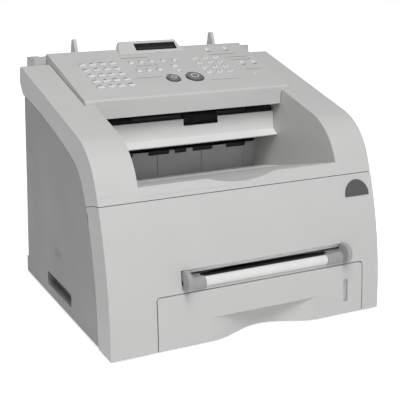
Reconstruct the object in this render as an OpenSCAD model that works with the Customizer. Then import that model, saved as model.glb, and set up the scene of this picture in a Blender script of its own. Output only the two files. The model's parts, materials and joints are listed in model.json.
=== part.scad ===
// Laser fax machine: moulded casings over a printing engine, a paper tray below, a manual feed in
// the front cover, a document scanner under the hinged control panel and a print output between
// the two cheeks. Millimetres, +Z up, front towards -Y, origin under the middle of the whole box.

/* [Body] */
// Width over the side covers
body_w = 396; // [330:1:476]
// Depth of the casing, front cover's foot to rear panel
body_d = 368; // [306:1:442]
// Height of the feet under the casing
foot_h = 3; // [2:0.5:8]
// Height where the front face turns into the nose
shoulder_h = 210; // [196:1:240]
// Casing wall thickness
wall = 2.5; // [2:0.1:3.2]
// Parting gap between casings that move against each other
part_gap = 0.8; // [0.5:0.1:1.2]
// Clearance between fixed pieces
seat_gap = 0.3; // [0.2:0.05:0.4]
// Radial running clearance of a shaft in its bearing
run_gap = 0.06; // [0.02:0.01:0.1]

/* [Side profile] */
// Backward lean of the front face at its foot, in degrees
face_lean = 2; // [0:0.5:4]
// Radius of the bowed front face
face_r = 545; // [450:5:700]
// Radius of the nose between front face and top
nose_r = 84; // [60:1:100]
// Slope of the top, in degrees
top_slope = 12.7; // [9:0.1:16]
// Depth of the side strip behind the front face
strip_d = 41; // [34:1:48]

/* [Front cover] */
// Height of the seam over the front cover
seam_h = 187; // [176:1:194]
// Height of the hinge axis above the floor
cover_hinge_z = 16; // [14:0.5:20]
// Hinge axis behind the foot of the front face
cover_hinge_d = 9; // [7:0.5:9]
// Radius of the hinge pins
cover_pin_r = 3; // [2:0.1:3.5]

/* [Paper tray] */
// Middle of the paper path, off the middle of the body
path_x = 18; // [10:1:24]
// Width of the tray front
tray_w = 305; // [290:1:312]
// Height of the tray front's top edge
tray_h = 71.5; // [68:0.5:76]
// Gap between the tray front and the front cover
tray_gap = 1.3; // [0.8:0.1:1.6]
// Width of the paper bin
bin_w = 262; // [250:1:266]
// Height of the paper bin's walls
bin_h = 60; // [50:1:63]
// Space behind the paper bin
bin_rear = 52; // [46:1:70]
// Paper width
paper_w = 216; // [200:1:222]
// Width of the hand scoop in the tray front
scoop_w = 160; // [130:1:180]
// Depth of the hand scoop
scoop_d = 22; // [15:1:26]
// Height of the hand scoop
scoop_h = 32; // [20:1:34]

/* [Manual feed] */
// How far the feed guides stand in front of the casing's foot
guide_reach = 9; // [8:0.5:12]
// Radius of the feed guides' discs
disc_r = 13; // [11:0.5:13.5]
// Thickness of the discs
disc_t = 7; // [4:0.5:9]
// Height of the discs' middle
disc_z = 89.5; // [89.5:0.5:92]
// Clearance round the discs in their recess
disc_gap = 1; // [0.8:0.1:1.5]
// Height of the feed slot's lower edge
slot_z = 88.5; // [88:0.5:90]
// Height of the feed slot
slot_h = 4.6; // [4.4:0.1:6]
// Radius of the round ledge under the slot
ledge_r = 6.5; // [5.5:0.1:6.5]
// Length of the sleeve between disc and paper
sleeve_l = 23.5; // [18:0.5:30]
// Travel of each paper guide
guide_travel = 36; // [20:1:40]

/* [Print output] */
// Half width of the print output, out to each cheek
cheek_x = 144; // [138:1:150]
// Height of the output's front lip
lip_z = 203; // [198:1:210]
// Distance of the output's back wall from the rear of the casing
output_rear = 114; // [106:1:120]
// Height of the floor at the back wall
floor_back_z = 143; // [138:1:150]
// Height of the back wall's top edge, where the prints come out
output_slot_z = 182; // [176:1:190]
// Radius of the rubber exit rollers
exit_roller_r = 10; // [8:0.5:11]

/* [Document feeder] */
// How far the rear housing reaches past each cheek's inner face
rear_lap = 30; // [26:1:34]
// Depth of the rear housing behind the side covers
rear_d = 60; // [54:1:66]
// Height of the document guides' tips
guide_top_z = 333; // [326:1:345]
// Middle of the document path, off the middle of the body
doc_x = 6.5; // [0:0.5:10]
// Distance between the document guides
doc_w = 220; // [214:1:226]

/* [Control panel] */
// How far the panel reaches over each cheek
panel_lap = 12; // [8:0.5:16]
// Depth of the panel along its slope
panel_l = 155; // [145:1:160]
// How much steeper than the casing's top the panel slopes, in degrees
panel_tilt = 1.7; // [0:0.1:3]
// How far the panel's front edge stands above the cheeks
panel_rise = 5.5; // [4:0.5:8]
// Key travel
key_travel = 1.2; // [0.8:0.1:1.8]
// Clearance round a key
key_gap = 0.4; // [0.3:0.05:0.6]

/* [Racks and pinions] */
// Tooth module
tooth_m = 1; // [0.8:0.1:1.2]
// Teeth on a pinion
pinion_teeth = 16; // [12:2:20]
// Backlash
backlash = 0.3; // [0.2:0.05:0.5]

/* [Hidden] */
$fn = 64;
eps = 0.01;
far = 1000;

// Casing
half_w = body_w / 2;
front_y = guide_reach / 2 - body_d / 2;
rear_y = front_y + body_d;
rear_half_w = cheek_x + rear_lap;
hinge_y = front_y + cover_hinge_d;
side_rear_y = rear_y - rear_d;
base_z = foot_h + wall;

// Side profile: a long arc up the front, the nose's arc, then a straight slope
face_c = [front_y + face_r * cos(face_lean), foot_h - face_r * sin(face_lean)];
shoulder_a = asin((shoulder_h - face_c[1]) / face_r);
nose_c = face_c + (face_r - nose_r) * [-cos(shoulder_a), sin(shoulder_a)];
face_steps = 14;
nose_steps = 18;

function on_arc(c, r, a) = [c[0] - r * cos(a), c[1] + r * sin(a)];
function face_a(z, i = 0) = asin((z - face_c[1]) / (face_r - i));
function face_y(z, i = 0) = on_arc(face_c, face_r - i, face_a(z, i))[0];
function top_z(y, i = 0) =
    let (e = on_arc(nose_c, nose_r - i, 90 - top_slope)) e[1] + (y - e[0]) * tan(top_slope);

// The outer line, inset by i, from height z0 on the face to y1 on the top
function outer_line(i, z0, y1) = concat(
    [for (k = [0:face_steps]) let (a0 = face_a(z0, i))
        on_arc(face_c, face_r - i, a0 + (shoulder_a - a0) * k / face_steps)],
    [for (k = [1:nose_steps])
        on_arc(nose_c, nose_r - i, shoulder_a + (90 - top_slope - shoulder_a) * k / nose_steps)],
    [[y1, top_z(y1, i)]]);

function bezier(p, q, r, n) =
    [for (k = [0:n]) let (t = k / n) (1 - t) * (1 - t) * p + 2 * t * (1 - t) * q + t * t * r];
// Where the line from p at angle a meets the line from q at angle b
function cross_point(p, a, q, b) =
    let (d = q - p, s = (d[0] * sin(b) - d[1] * cos(b)) / sin(b - a)) p + s * [cos(a), sin(a)];
function span(c, v) = [for (a = v) c + a];
function reversed(v) = [for (k = [len(v) - 1:-1:0]) v[k]];

// Edge between the light strip and the side cover
tail_y = side_rear_y + 20;
knee_a = 21;
knee = nose_c + [-2.6, 49.5];
strip_end = [side_rear_y + 6, top_z(side_rear_y + 6) - 37];
strip_a = on_arc(face_c, face_r - strip_d, knee_a);
function strip_line(g) = let (a = strip_a + g * [cos(knee_a), -sin(knee_a)],
    b = knee + g * [sin(18), -cos(18)], c = strip_end - [0, g]) concat(
    [for (k = [0:face_steps]) let (a0 = face_a(foot_h, strip_d + g))
        on_arc(face_c, face_r - strip_d - g, a0 + (knee_a - a0) * k / face_steps)],
    bezier(a, cross_point(a, 90 - knee_a, b, 18), b, 8),
    bezier(b, cross_point(b, 18, c, 5.5), c, 12));

// The front cover swings about this radius, so its seam is an arc about the hinge
seam_r = norm([face_y(seam_h) - hinge_y, seam_h - cover_hinge_z]);

// Paper tray
tray_x0 = path_x - tray_w / 2;
tray_x1 = path_x + tray_w / 2;
bin_x0 = path_x - bin_w / 2;
bin_x1 = path_x + bin_w / 2;
bin_y0 = front_y + 30;
bin_y1 = rear_y - bin_rear;
bin_z = base_z + 1;
tray_guide_x = paper_w / 2 + 0.5;

// Frames
frame_t = 2;
frame_x0 = bin_x0 - 5;
frame_x1 = bin_x1 + 5;

// Print output
output_y = rear_y - output_rear;
crease = [output_y - 75, floor_back_z + 20.6];
lip_y = face_y(lip_z);
exit_y = output_y + exit_roller_r - 1;
exit_z = output_slot_z + exit_roller_r - 2;

// Control panel
panel_half_w = cheek_x + panel_lap;
panel_slope = top_slope + panel_tilt;
panel_y1 = rear_y - 32;
panel_y0 = panel_y1 - panel_l * cos(panel_slope);
panel_z0 = top_z(panel_y0) + panel_rise;
panel_z1 = panel_z0 + panel_l * sin(panel_slope);
panel_sink = 5;
chin_x = cheek_x - 1.1;
chin_z = panel_z0 - 26;
panel_axis = [rear_y - 28, panel_z1 - 9.5];
pin_r = 3;
function panel_z(y) = panel_z0 + (y - panel_y0) * tan(panel_slope);

// Document path, from the bed at the rear to the chute at the front
path_y0 = panel_y0 + 22;
path_z0 = chin_z - 11.5;
path_y1 = tail_y + 0.3;
path_z1 = panel_z1 - 22.3;
path_a = atan2(path_z1 - path_z0, path_y1 - path_y0);
function path_z(y) = path_z0 + (y - path_y0) * tan(path_a);
bed_z = panel_z1 - 9.5;
rear_z = strip_end[1] - 6;

// Rollers: [y, z, radius of the rubber, half length]
shaft_r = 3;
pickup = [front_y + 75, 80];
pickup_r = 13;
drum_at = [front_y + 122, 99];
drum_r = 12;
transfer_r = 7.5;
fuser_at = [front_y + 286, 112];
heat_r = 13;
press_r = 11;
scan_exit_at = [panel_y0 + 31, path_z(panel_y0 + 31) - 8.5];
scan_feed_at = [tail_y - 24, path_z(tail_y - 24) - 8.5];
scan_roller_r = 9;

// Racks and pinions
pinion_r = tooth_m * pinion_teeth / 2;
tray_pinion_y = front_y + 120;
doc_pinion_y = rear_y - 17;
front_pinion_y = front_y + 36;

shell_grey = [0.80, 0.80, 0.80];
side_grey = [0.58, 0.58, 0.58];
white = [0.92, 0.92, 0.91];
guide_grey = [0.62, 0.62, 0.62];
dark = [0.13, 0.13, 0.14];
steel = [0.66, 0.68, 0.70];
rubber = [0.10, 0.10, 0.10];
board_green = [0.10, 0.35, 0.20];

// ---- helpers ----

// Draws a shape given in (y, z) from x0 to x1
module along_x(x0, x1) {
    translate([x0, 0, 0]) rotate([90, 0, 90]) linear_extrude(x1 - x0) children();
}

// Draws a shape given in (x, y) from z0 to z1
module up(z0, z1) {
    translate([0, 0, z0]) linear_extrude(z1 - z0) children();
}

// Draws a shape given in (x, z) from y0 to y1
module along_y(y0, y1) {
    translate([0, y1, 0]) rotate([90, 0, 0]) linear_extrude(y1 - y0) children();
}

module box(x, y, z) {
    translate([x[0], y[0], z[0]]) cube([x[1] - x[0], y[1] - y[0], z[1] - z[0]]);
}

// A rod along X through [y, z]
module rod(x0, x1, at, r) {
    translate([x0, at[0], at[1]]) rotate([0, 90, 0]) cylinder(h = x1 - x0, r = r);
}

module both() {
    children();
    mirror([1, 0, 0]) children();
}

// A rounded rectangle from corner p to corner q
module round_rect(p, q, r) {
    translate([p[0] + r, p[1]]) square([q[0] - p[0] - 2 * r, q[1] - p[1]]);
    translate([p[0], p[1] + r]) square([q[0] - p[0], q[1] - p[1] - 2 * r]);
    for (x = [p[0] + r, q[0] - r], z = [p[1] + r, q[1] - r]) translate([x, z]) circle(r);
}

// The casing's skin between two depths under the outer line
module skin(x0, x1, i0, i1, z0, y1) {
    along_x(x0, x1) polygon(concat(outer_line(i0, z0, y1), reversed(outer_line(i1, z0, y1))));
}

module seam_drum(r) {
    rod(-far / 2, far / 2, [hinge_y, cover_hinge_z], r);
}

// Puts a child drawn in (x, distance up the slope, height over the face) on the panel
module on_panel() {
    translate([0, panel_y0, panel_z0]) rotate([panel_slope, 0, 0]) children();
}

// Involute pinion about the origin, with a tooth on the Y axis
base_r = pinion_r * cos(20);
function inv(a) = tan(a) * 180 / PI - a;
function tooth_half(r) = (PI * tooth_m - backlash) / 4 / pinion_r * 180 / PI + inv(20)
    - (r > base_r ? inv(acos(base_r / r)) : 0);
module pinion_shape() {
    radii = [pinion_r - 1.25 * tooth_m, base_r, pinion_r - 0.2 * tooth_m,
        pinion_r + 0.4 * tooth_m, pinion_r + tooth_m];
    polygon([for (k = [0:pinion_teeth - 1], side = [-1, 1], j = [0:4])
        let (r = radii[side < 0 ? j : 4 - j], a = 90 + k * 360 / pinion_teeth
            + side * tooth_half(r)) r * [cos(a), sin(a)]]);
}

// Rack teeth pointing to -Y from the pitch line, over the x values of list
module rack_teeth(centres) {
    half = (PI * tooth_m - backlash) / 4;
    root_w = half + 1.25 * tooth_m * tan(20);
    tip_w = half - tooth_m * tan(20);
    for (x = centres) polygon([[x - root_w, 1.25 * tooth_m + eps], [x - root_w, 1.25 * tooth_m],
        [x - tip_w, -tooth_m], [x + tip_w, -tooth_m], [x + root_w, 1.25 * tooth_m],
        [x + root_w, 1.25 * tooth_m + eps]]);
}

// A rack at the +Y side of a pinion at the origin, with teeth from x0 to x1
module rack_shape(x0, x1, back) {
    pitch = PI * tooth_m;
    first = ceil(x0 / pitch - 0.5);
    last = floor(x1 / pitch - 0.5);
    translate([0, pinion_r]) {
        rack_teeth([for (k = [first:last]) (k + 0.5) * pitch]);
        translate([x0 - 2, 1.25 * tooth_m]) square([x1 - x0 + 4, back]);
    }
}

// ---- casing ----

tail = [[tail_y - 10, top_z(tail_y - 10)], [tail_y - 6, top_z(tail_y - 6) - 0.6],
    [tail_y - 3, top_z(tail_y) - 4.5], [tail_y - 2, top_z(tail_y) - 8],
    [tail_y, top_z(tail_y) - 24], [side_rear_y + 10, strip_end[1] + 3]];
dip_d = 8;
dip_r = 150;
dip_end = 4;
exit_rollers = [[-92.5, 15.7], [-35, 16], [0, 9], [36.5, 15.7], [92.5, 15.7]];
rib_pitch = 71.8;

module strip_shape() {
    polygon(concat(outer_line(0, foot_h, tail_y - 10), tail, reversed(strip_line(0))));
}

// Round channel that leads the fingers over the output's lip
module dip(r) {
    rise = lip_z - dip_d - crease[1] - dip_end;
    run = crease[0] - lip_y;
    translate([0, lip_y, lip_z - dip_d]) rotate([-atan2(rise, run), 0, 0])
        translate([0, -20, dip_r]) rotate([-90, 0, 0]) cylinder(h = run + 20, r = r);
}

floor_line = [[lip_y + 1, lip_z], crease, [output_y + wall, floor_back_z]];

module output_floor() {
    along_x(-cheek_x - eps, cheek_x + eps) polygon(concat(floor_line,
        [floor_line[2] - [0, wall], floor_line[1] - [0, wall], floor_line[0] - [0, wall + 2]]));
    intersection() {
        dip(dip_r + wall);
        along_x(-dip_r / 2, dip_r / 2) polygon([floor_line[0] - [0, 1], crease - [0, 1],
            crease - [0, 2 * wall], floor_line[0] - [0, dip_d + 3 * wall]]);
    }
    along_x(-cheek_x - eps, cheek_x + eps) polygon([[output_y, floor_back_z - wall],
        [output_y + wall, floor_back_z - wall], [output_y + wall, output_slot_z],
        [output_y, output_slot_z]]);
    for (k = [-2:1]) translate([path_x + rib_pitch * (k + 0.5), 0, 0])
        box([-0.8, 0.8], [output_y - 2, output_y + eps], [floor_back_z - 1, output_slot_z - 1]);
}

module upper_cover() color(shell_grey) {
    recess_y = panel_y0 - part_gap;
    difference() {
        union() {
            skin(-half_w, half_w, 0, wall, seam_h - 30, tail_y - 10);
            both() along_x(half_w - wall, half_w) strip_shape();
            both() along_x(cheek_x, half_w) polygon(concat(tail, [
                [side_rear_y + 10 - wall, strip_end[1] + 3 + wall], [tail_y - wall, top_z(tail_y) - 24],
                [tail_y - 2 - wall, top_z(tail_y) - 8 - wall], [tail_y - 10, top_z(tail_y - 10) - wall]]));
            both() along_x(cheek_x, cheek_x + wall) polygon(concat(
                outer_line(0, lip_z - 12, tail_y - 12),
                [[tail_y - 12, rear_z], [output_y + wall, rear_z],
                [output_y + wall, floor_back_z - wall], crease - [0, wall]]));
            // recessed ledge under the panel's overhang
            both() along_x(cheek_x, panel_half_w + part_gap + wall) polygon(concat(
                [for (y = [recess_y - wall, tail_y - 10]) [y, top_z(y)]],
                [for (y = [tail_y - 10, recess_y - wall]) [y, top_z(y) - panel_sink - 1 - wall]]));
            output_floor();
        }
        box([-cheek_x, cheek_x], [front_y - 5, output_y], [lip_z, far]);
        box([-cheek_x, cheek_x], [output_y - 1, far], [output_slot_z, far]);
        dip(dip_r);
        // seat of the control panel
        along_x(-panel_half_w - part_gap, panel_half_w + part_gap) polygon([
            [recess_y, top_z(recess_y) - panel_sink - 1], [far, top_z(far) - panel_sink - 1],
            [far, far], [recess_y, far]]);
        for (e = exit_rollers) rod(path_x + e[0] - e[1] - 1.5, path_x + e[0] + e[1] + 1.5,
            [exit_y, exit_z], exit_roller_r + 0.8);
        seam_drum(seam_r + part_gap / 2);
    }
}

module side_cover_shape() {
    difference() {
        polygon(concat(strip_line(part_gap), [[side_rear_y + 6, foot_h + 2]]));
        translate([side_rear_y, 28]) square([50, far]);
        translate([front_y, 0]) square([body_d, foot_h + 2]);
    }
}

grip_y = [front_y + 133, front_y + 224];
grip_z = [19, 38];
grip_d = 13;

module side_cover() color(side_grey) {
    x1 = -half_w + wall;
    difference() {
        union() {
            along_x(-half_w, x1) side_cover_shape();
            box([-half_w + eps, -rear_half_w - seat_gap], [side_rear_y - wall, side_rear_y],
                [foot_h + 2, strip_end[1] - 3]);
            box([x1 + seat_gap, -rear_half_w - seat_gap], [side_rear_y - wall, side_rear_y],
                [strip_end[1] - 3 - eps, strip_end[1] + 2]);
            along_x(-half_w + eps, -half_w + grip_d)
                round_rect([grip_y[0] - 1.5, grip_z[0] - 1.5], [grip_y[1] + 1.5, grip_z[1] + 1.5], 5.5);
        }
        along_x(-half_w - 1, -half_w + grip_d - 1.5)
            round_rect([grip_y[0], grip_z[0]], [grip_y[1], grip_z[1]], 4);
    }
}

speaker_at = [front_y + 180, 78];
// The speaker sounds through a grille of small holes
module left_side_cover() color(side_grey) difference() {
    side_cover();
    for (j = [-2:2], k = [-1.5:1.5]) rod(-half_w - 1, -half_w + wall + 1,
        speaker_at + [5 * j, 3 * k], 0.9);
}

module right_side_cover() mirror([1, 0, 0]) side_cover();

// ---- chassis ----

lug_r = cover_hinge_d - wall - 1;
lug_x = [[-half_w + 26, -half_w + 34], [half_w - 12, half_w - 6]];
module base_pan() color(dark) {
    inner_w = half_w - wall - seat_gap;
    box([-inner_w, inner_w], [front_y + 30, side_rear_y - wall - seat_gap], [foot_h, base_z]);
    box([-rear_half_w + wall + seat_gap, rear_half_w - wall - seat_gap],
        [side_rear_y - wall - 1, rear_y - wall - seat_gap], [foot_h, base_z]);
    for (x = [bin_x0 - 2.6, bin_x1 + 0.4])
        box([x, x + 2.2], [front_y + 46, bin_y1], [base_z - eps, base_z + 16]);
    for (x = lug_x) {
        along_x(x[0], x[1]) {
            translate([hinge_y, cover_hinge_z]) circle(lug_r);
            translate([hinge_y, cover_hinge_z + lug_r - 8]) square([22, 8]);
            translate([front_y + 26.5, foot_h]) square([4.5, cover_hinge_z + lug_r - foot_h]);
        }
        rod(x[1] > 0 ? x[0] - 7.5 : x[1] - eps, x[1] > 0 ? x[0] + eps : x[1] + 7.5,
            [hinge_y, cover_hinge_z], cover_pin_r);
    }
}

module feet() color(rubber) {
    for (x = [-1, 1]) {
        translate([x * (half_w - 33), front_y + 48, 0]) cylinder(h = foot_h, r = 9);
        translate([x * (rear_half_w - 24), rear_y - 28, 0]) cylinder(h = foot_h, r = 9);
    }
}

frame_line = [[front_y + 44, base_z + 0.5], [front_y + 44, 60], [front_y + 60, 150],
    [front_y + 80, 180], crease - [0, wall + 1.5], [output_y - 3, floor_back_z - wall - 1.2],
    [output_y + wall + 0.4, floor_back_z - wall - 1.2],
    [output_y + wall + 0.4, path_z(output_y + wall) - 10],
    [output_y + 24, rear_z - 2], [rear_y - 26, rear_z - 2], [rear_y - 26, base_z + 0.5]];

module frame(x) color(steel) {
    difference() {
        along_x(x, x + frame_t) polygon(frame_line);
        for (at = [pickup, drum_at, drum_at - [0, drum_r + transfer_r + seat_gap], fuser_at,
            fuser_at - [0, heat_r + press_r + seat_gap], [exit_y, exit_z]])
            rod(x - 1, x + frame_t + 1, at, shaft_r + run_gap);
        rod(x - 1, x + frame_t + 1, motor_at, 3.5);
        for (y = [front_y + 150, front_y + 185]) box([x - 1, x + 3], [y, y + 30], [70, 90]);
    }
    children();
}

board_x = frame_x0 - frame_t - 44;
board_y = [front_y + 120, rear_y - 30];
board_z = [70, 225];
motor_at = [front_y + 200, 119];
module left_frame() frame(frame_x0 - frame_t) {
    for (y = [front_y + 225, board_y[1] - 8], z = [board_z[0] + 8, board_z[0] + 58])
        rod(board_x + 1.6 + 0.05, frame_x0 - frame_t + eps, [y, z], 3);
}
module right_frame() frame(frame_x1);

module cross_plate() color(steel) {
    x = [frame_x0 + seat_gap, frame_x1 - seat_gap];
    y = [front_y + 148, front_y + 250];
    box(x, y, [96, 98]);
    box(x, [y[0], y[0] + 2], [88, 97]);
    box(x, [y[1] - 2, y[1]], [88, 97]);
}

module rear_panel() color(side_grey) {
    difference() {
        union() {
            box([-rear_half_w, rear_half_w], [rear_y - wall, rear_y], [foot_h, rear_z - seat_gap]);
            both() box([rear_half_w - wall, rear_half_w], [side_rear_y + seat_gap, rear_y],
                [foot_h, rear_z - seat_gap]);
            for (x = [door_x0 - 0.6 - 4, door_x1 + 0.6]) box([x, x + 4],
                [rear_y - 11, rear_y - wall + eps], [door_z0 - 3, door_z0 + 13]);
        }
        box([door_x0 - 0.6, door_x1 + 0.6], [rear_y - 20, rear_y + 1], [door_z0 - 0.6, door_z1 + 0.6]);
        rod(door_x0 - 4, door_x1 + 4, door_axis, 2 + run_gap);
        along_y(rear_y - 20, rear_y + 1) round_rect(inlet_at - [14.3, 10.3], inlet_at + [48.3, 10.3], 1);
        for (p = jack_places) along_y(rear_y - 20, rear_y + 1)
            round_rect(p - [7.3, 7.3], p + [7.3, 7.3], 1);
        for (k = [0:11]) along_y(rear_y - 20, rear_y + 1)
            round_rect([60 + 7 * k, 30], [63.4 + 7 * k, 80], 1.6);
    }
}

door_x0 = path_x - 104;
door_x1 = path_x + 104;
door_z0 = 141;
door_z1 = 236;
door_axis = [rear_y - 5, door_z0 + 5];
module rear_door() color(side_grey) {
    box([door_x0, door_x1], [rear_y - wall, rear_y], [door_z0 + 5, door_z1]);
    rod(door_x0, door_x1, door_axis, 5);
    for (x = [-3, 3]) box([path_x + 25 * x - 1, path_x + 25 * x + 1],
        [rear_y - 8, rear_y - wall + eps], [door_z0 + 8, door_z1 - 6]);
    rod(door_x0 - 4, door_x1 + 4, door_axis, 2);
}

inlet_at = [-148, 45];
rocker_x = inlet_at[0] + 34;
rocker_axis = [rear_y - 6, inlet_at[1]];
module ac_inlet() color(dark) {
    difference() {
        along_y(rear_y - 24, rear_y) round_rect(inlet_at - [14, 10], inlet_at + [48, 10], 1);
        along_y(rear_y - 16.5, rear_y + 1) polygon([for (p = [[-11.5, -7.2], [11.5, -7.2],
            [11.5, 4.2], [8.5, 7.2], [-8.5, 7.2], [-11.5, 4.2]]) inlet_at + p]);
        box([rocker_x - 9, rocker_x + 9], [rear_y - 14, rear_y + 1], [inlet_at[1] - 8, inlet_at[1] + 8]);
        rod(rocker_x - 11, rocker_x + 11, rocker_axis, 1.5 + run_gap);
    }
    for (x = [-7, 0, 7]) box([inlet_at[0] + x - 1, inlet_at[0] + x + 1],
        [rear_y - 17, rear_y - 6], span(inlet_at[1] + (x == 0 ? 2 : -2), [-2, 2]));
}

module power_switch() color(dark) {
    along_x(rocker_x - 8.4, rocker_x + 8.4) translate(rocker_axis) rotate(-8)
        polygon([[-4, -5], [4.5, -6.6], [3.6, 0], [4.5, 6.6], [-4, 5]]);
    rod(rocker_x - 10.5, rocker_x + 10.5, rocker_axis, 1.5);
}

jack_places = [[-152, 118], [-134, 118], [-143, 145]];
module rear_jacks() color(dark) {
    for (p = jack_places) difference() {
        along_y(rear_y - 17, rear_y) round_rect(p - [7, 7], p + [7, 7], 0.8);
        along_y(rear_y - 13, rear_y + 1) round_rect(p - [4.9, 4.1], p + [4.9, 4.1], 0.5);
    }
    for (p = jack_places) box(span(p[0], [-9, 9]), [rear_y - 19, rear_y - 17 + eps],
        span(p[1], [-9, 9]));
    box([board_x + 1.9, -140], [rear_y - 20, rear_y - 19 + eps], [112, 150]);
}

// ---- front cover ----

feed_x = path_x + 4;
feed_half = 121.5;
disc_at = [front_y + disc_r - guide_reach, disc_z];
recess_r = disc_r + disc_gap;
recess_half = feed_half + disc_gap;
recess_z0 = tray_h + tray_gap + wall;
ledge_at = [front_y + 10.5, slot_z - ledge_r];
tongue_z = [slot_z + seat_gap, slot_z + seat_gap + 2.3];
carrier_y = disc_at[0] + recess_r;
cover_inner = 16;

// Round recess that the guides' discs slide in, its lower edge at height z0
module recess(grow, z0) intersection() {
    rod(feed_x - recess_half - grow, feed_x + recess_half + grow, disc_at, recess_r + grow);
    box([-half_w, half_w], [front_y - 20, front_y + 60], [z0, disc_z + 2 * disc_r]);
}

module face_band(x0, x1, i0, i1, z0, z1) {
    n = 8;
    along_x(x0, x1) polygon(concat(
        [for (k = [0:n]) let (z = z0 + (z1 - z0) * k / n) [face_y(z, i0), z]],
        [for (k = [n:-1:0]) let (z = z0 + (z1 - z0) * k / n) [face_y(z, i1), z]]));
}

ear_x = [[-half_w + 34.6, -half_w + 40.6], [half_w - 18.6, half_w - 12.6]];
module front_cover() color(shell_grey) difference() {
    intersection() {
        union() {
            skin(-half_w, half_w, 0, wall, foot_h, panel_y0);
            both() along_x(half_w - wall, half_w) strip_shape();
            // stiffening walls round the tray opening
            for (x = [tray_x0 - tray_gap - wall, tray_x1 + tray_gap])
                face_band(x, x + wall, 1, cover_inner, foot_h, recess_z0 - 1);
            face_band(tray_x0 - tray_gap - wall, tray_x1 + tray_gap + wall, 1, cover_inner,
                recess_z0 - wall, recess_z0);
            intersection() {
                recess(wall, recess_z0 - wall + eps);
                face_band(-half_w, half_w, 1, 30, foot_h, shoulder_h);
            }
            // carrier of the guides' racks
            box([feed_x - 100, feed_x + 100], [carrier_y, front_pinion_y + 14], [slot_z - 2.5, slot_z]);
            translate([feed_x, front_pinion_y, slot_z - 1]) cylinder(h = 5, r = 2.5);
            for (x = ear_x) {
                rod(x[0], x[1], [hinge_y, cover_hinge_z], 6);
                face_band(x[0], x[1], 1, 7, cover_hinge_z, cover_hinge_z + 6);
            }
        }
        seam_drum(seam_r - part_gap / 2);
    }
    difference() {
        box([-half_w - 1, half_w + 1], [hinge_y + 10, hinge_y + 60], [0, cover_hinge_z]);
        rod(-half_w - 2, half_w + 2, [hinge_y, cover_hinge_z], strip_d - cover_hinge_d + 0.4);
    }
    along_y(front_y - 5, front_y + 27)
        round_rect([tray_x0 - tray_gap, -10], [tray_x1 + tray_gap, tray_h + tray_gap],
            tray_corner_r + tray_gap);
    recess(0, recess_z0);
    box([feed_x - feed_half + 1.5, feed_x + feed_half - 1.5],
        [disc_at[0] + 8, carrier_y + wall + 1], [slot_z, slot_z + slot_h]);
    for (x = ear_x) rod(x[0] - 1, x[1] + 1, [hinge_y, cover_hinge_z], cover_pin_r + run_gap);
    both() grip_dish();
}

// Round finger dish across the strip's rear edge
dish_z = 160.5;
dish_r = 36;
dish_deep = 1.6;
module grip_dish() {
    translate([half_w + dish_r - dish_deep, face_y(dish_z, strip_d) + 8, dish_z]) sphere(dish_r);
}

// Round nose on a flat back, its ends hidden inside the discs
module feed_ledge() color(white) intersection() {
    along_x(feed_x - feed_half + disc_t / 2, feed_x + feed_half - disc_t / 2) {
        translate(ledge_at) circle(ledge_r);
        translate([ledge_at[0], recess_z0]) square([20, ledge_at[1] + 3 - recess_z0]);
    }
    recess(-seat_gap, recess_z0 + seat_gap);
}

badge_r = 19.2;
badge_at = [170.9, 160.3];
badge_z0 = 158.6;
module badge() color(guide_grey) intersection() {
    along_y(front_y, front_y + 60) intersection() {
        translate(badge_at) circle(badge_r);
        translate([badge_at[0] - badge_r, badge_z0]) square([2 * badge_r, 2 * badge_r]);
    }
    face_band(badge_at[0] - badge_r - 1, badge_at[0] + badge_r + 1, -0.8, -0.05,
        badge_z0 - 1, badge_at[1] + badge_r + 1);
}

// One feed guide on the left: disc, sleeve round the ledge, tongue and rack
rim_r = 2.2;
sleeve_r = ledge_r + run_gap + 1.6;
module manual_guide() color(guide_grey) {
    x0 = -feed_half;
    x1 = x0 + disc_t;
    x2 = x1 + sleeve_l;
    difference() {
        union() {
            translate([x0, disc_at[0], disc_at[1]]) rotate([0, 90, 0]) rotate_extrude() polygon(concat(
                [[0, 0]], [for (a = [0:15:90]) [disc_r - rim_r + rim_r * sin(a), rim_r * (1 - cos(a))]],
                [for (a = [90:-15:0]) [disc_r - rim_r + rim_r * sin(a), disc_t - rim_r * (1 - cos(a))]],
                [[0, disc_t]]));
            rod(x1 - eps, x2, ledge_at, sleeve_r);
            box([x1 - eps, x2 - 3], [ledge_at[0], carrier_y + 1], tongue_z);
        }
        rod(x0 - 1, x2 + 1, ledge_at, ledge_r + seat_gap);
        box([x0 - 1, x2 + 1], [ledge_at[0], front_y + 60], [60, slot_z + seat_gap]);
        box([x0 - 1, x2 + 1], [front_y + 5.5, front_y + 60], [60, recess_z0 + disc_gap]);
        box([x1 + eps, x2 + 1], [ledge_at[0] - eps, front_y + 60], [tongue_z[1], slot_z + 20]);
        // gripping ribs
        for (k = [0:4]) translate([x1 + 3 + 4 * k, 0, 0])
            rotate_about_ledge() cylinder(h = 1.6, r = ledge_r + 4);
    }
    box([x0 + 6, x2 - 3], [carrier_y, front_pinion_y + pinion_r + 5], tongue_z);
    translate([0, front_pinion_y, tongue_z[0]]) linear_extrude(tongue_z[1] - tongue_z[0])
        rack_shape(x0 + 12, 13, 3);
}

module rotate_about_ledge() {
    difference() {
        translate([0, ledge_at[0], ledge_at[1]]) rotate([0, 90, 0]) children();
        translate([-1, ledge_at[0], ledge_at[1]]) rotate([0, 90, 0])
            cylinder(h = 5, r = sleeve_r - 0.4);
    }
}

module manual_guide_left() translate([feed_x, 0, 0]) manual_guide();

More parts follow.
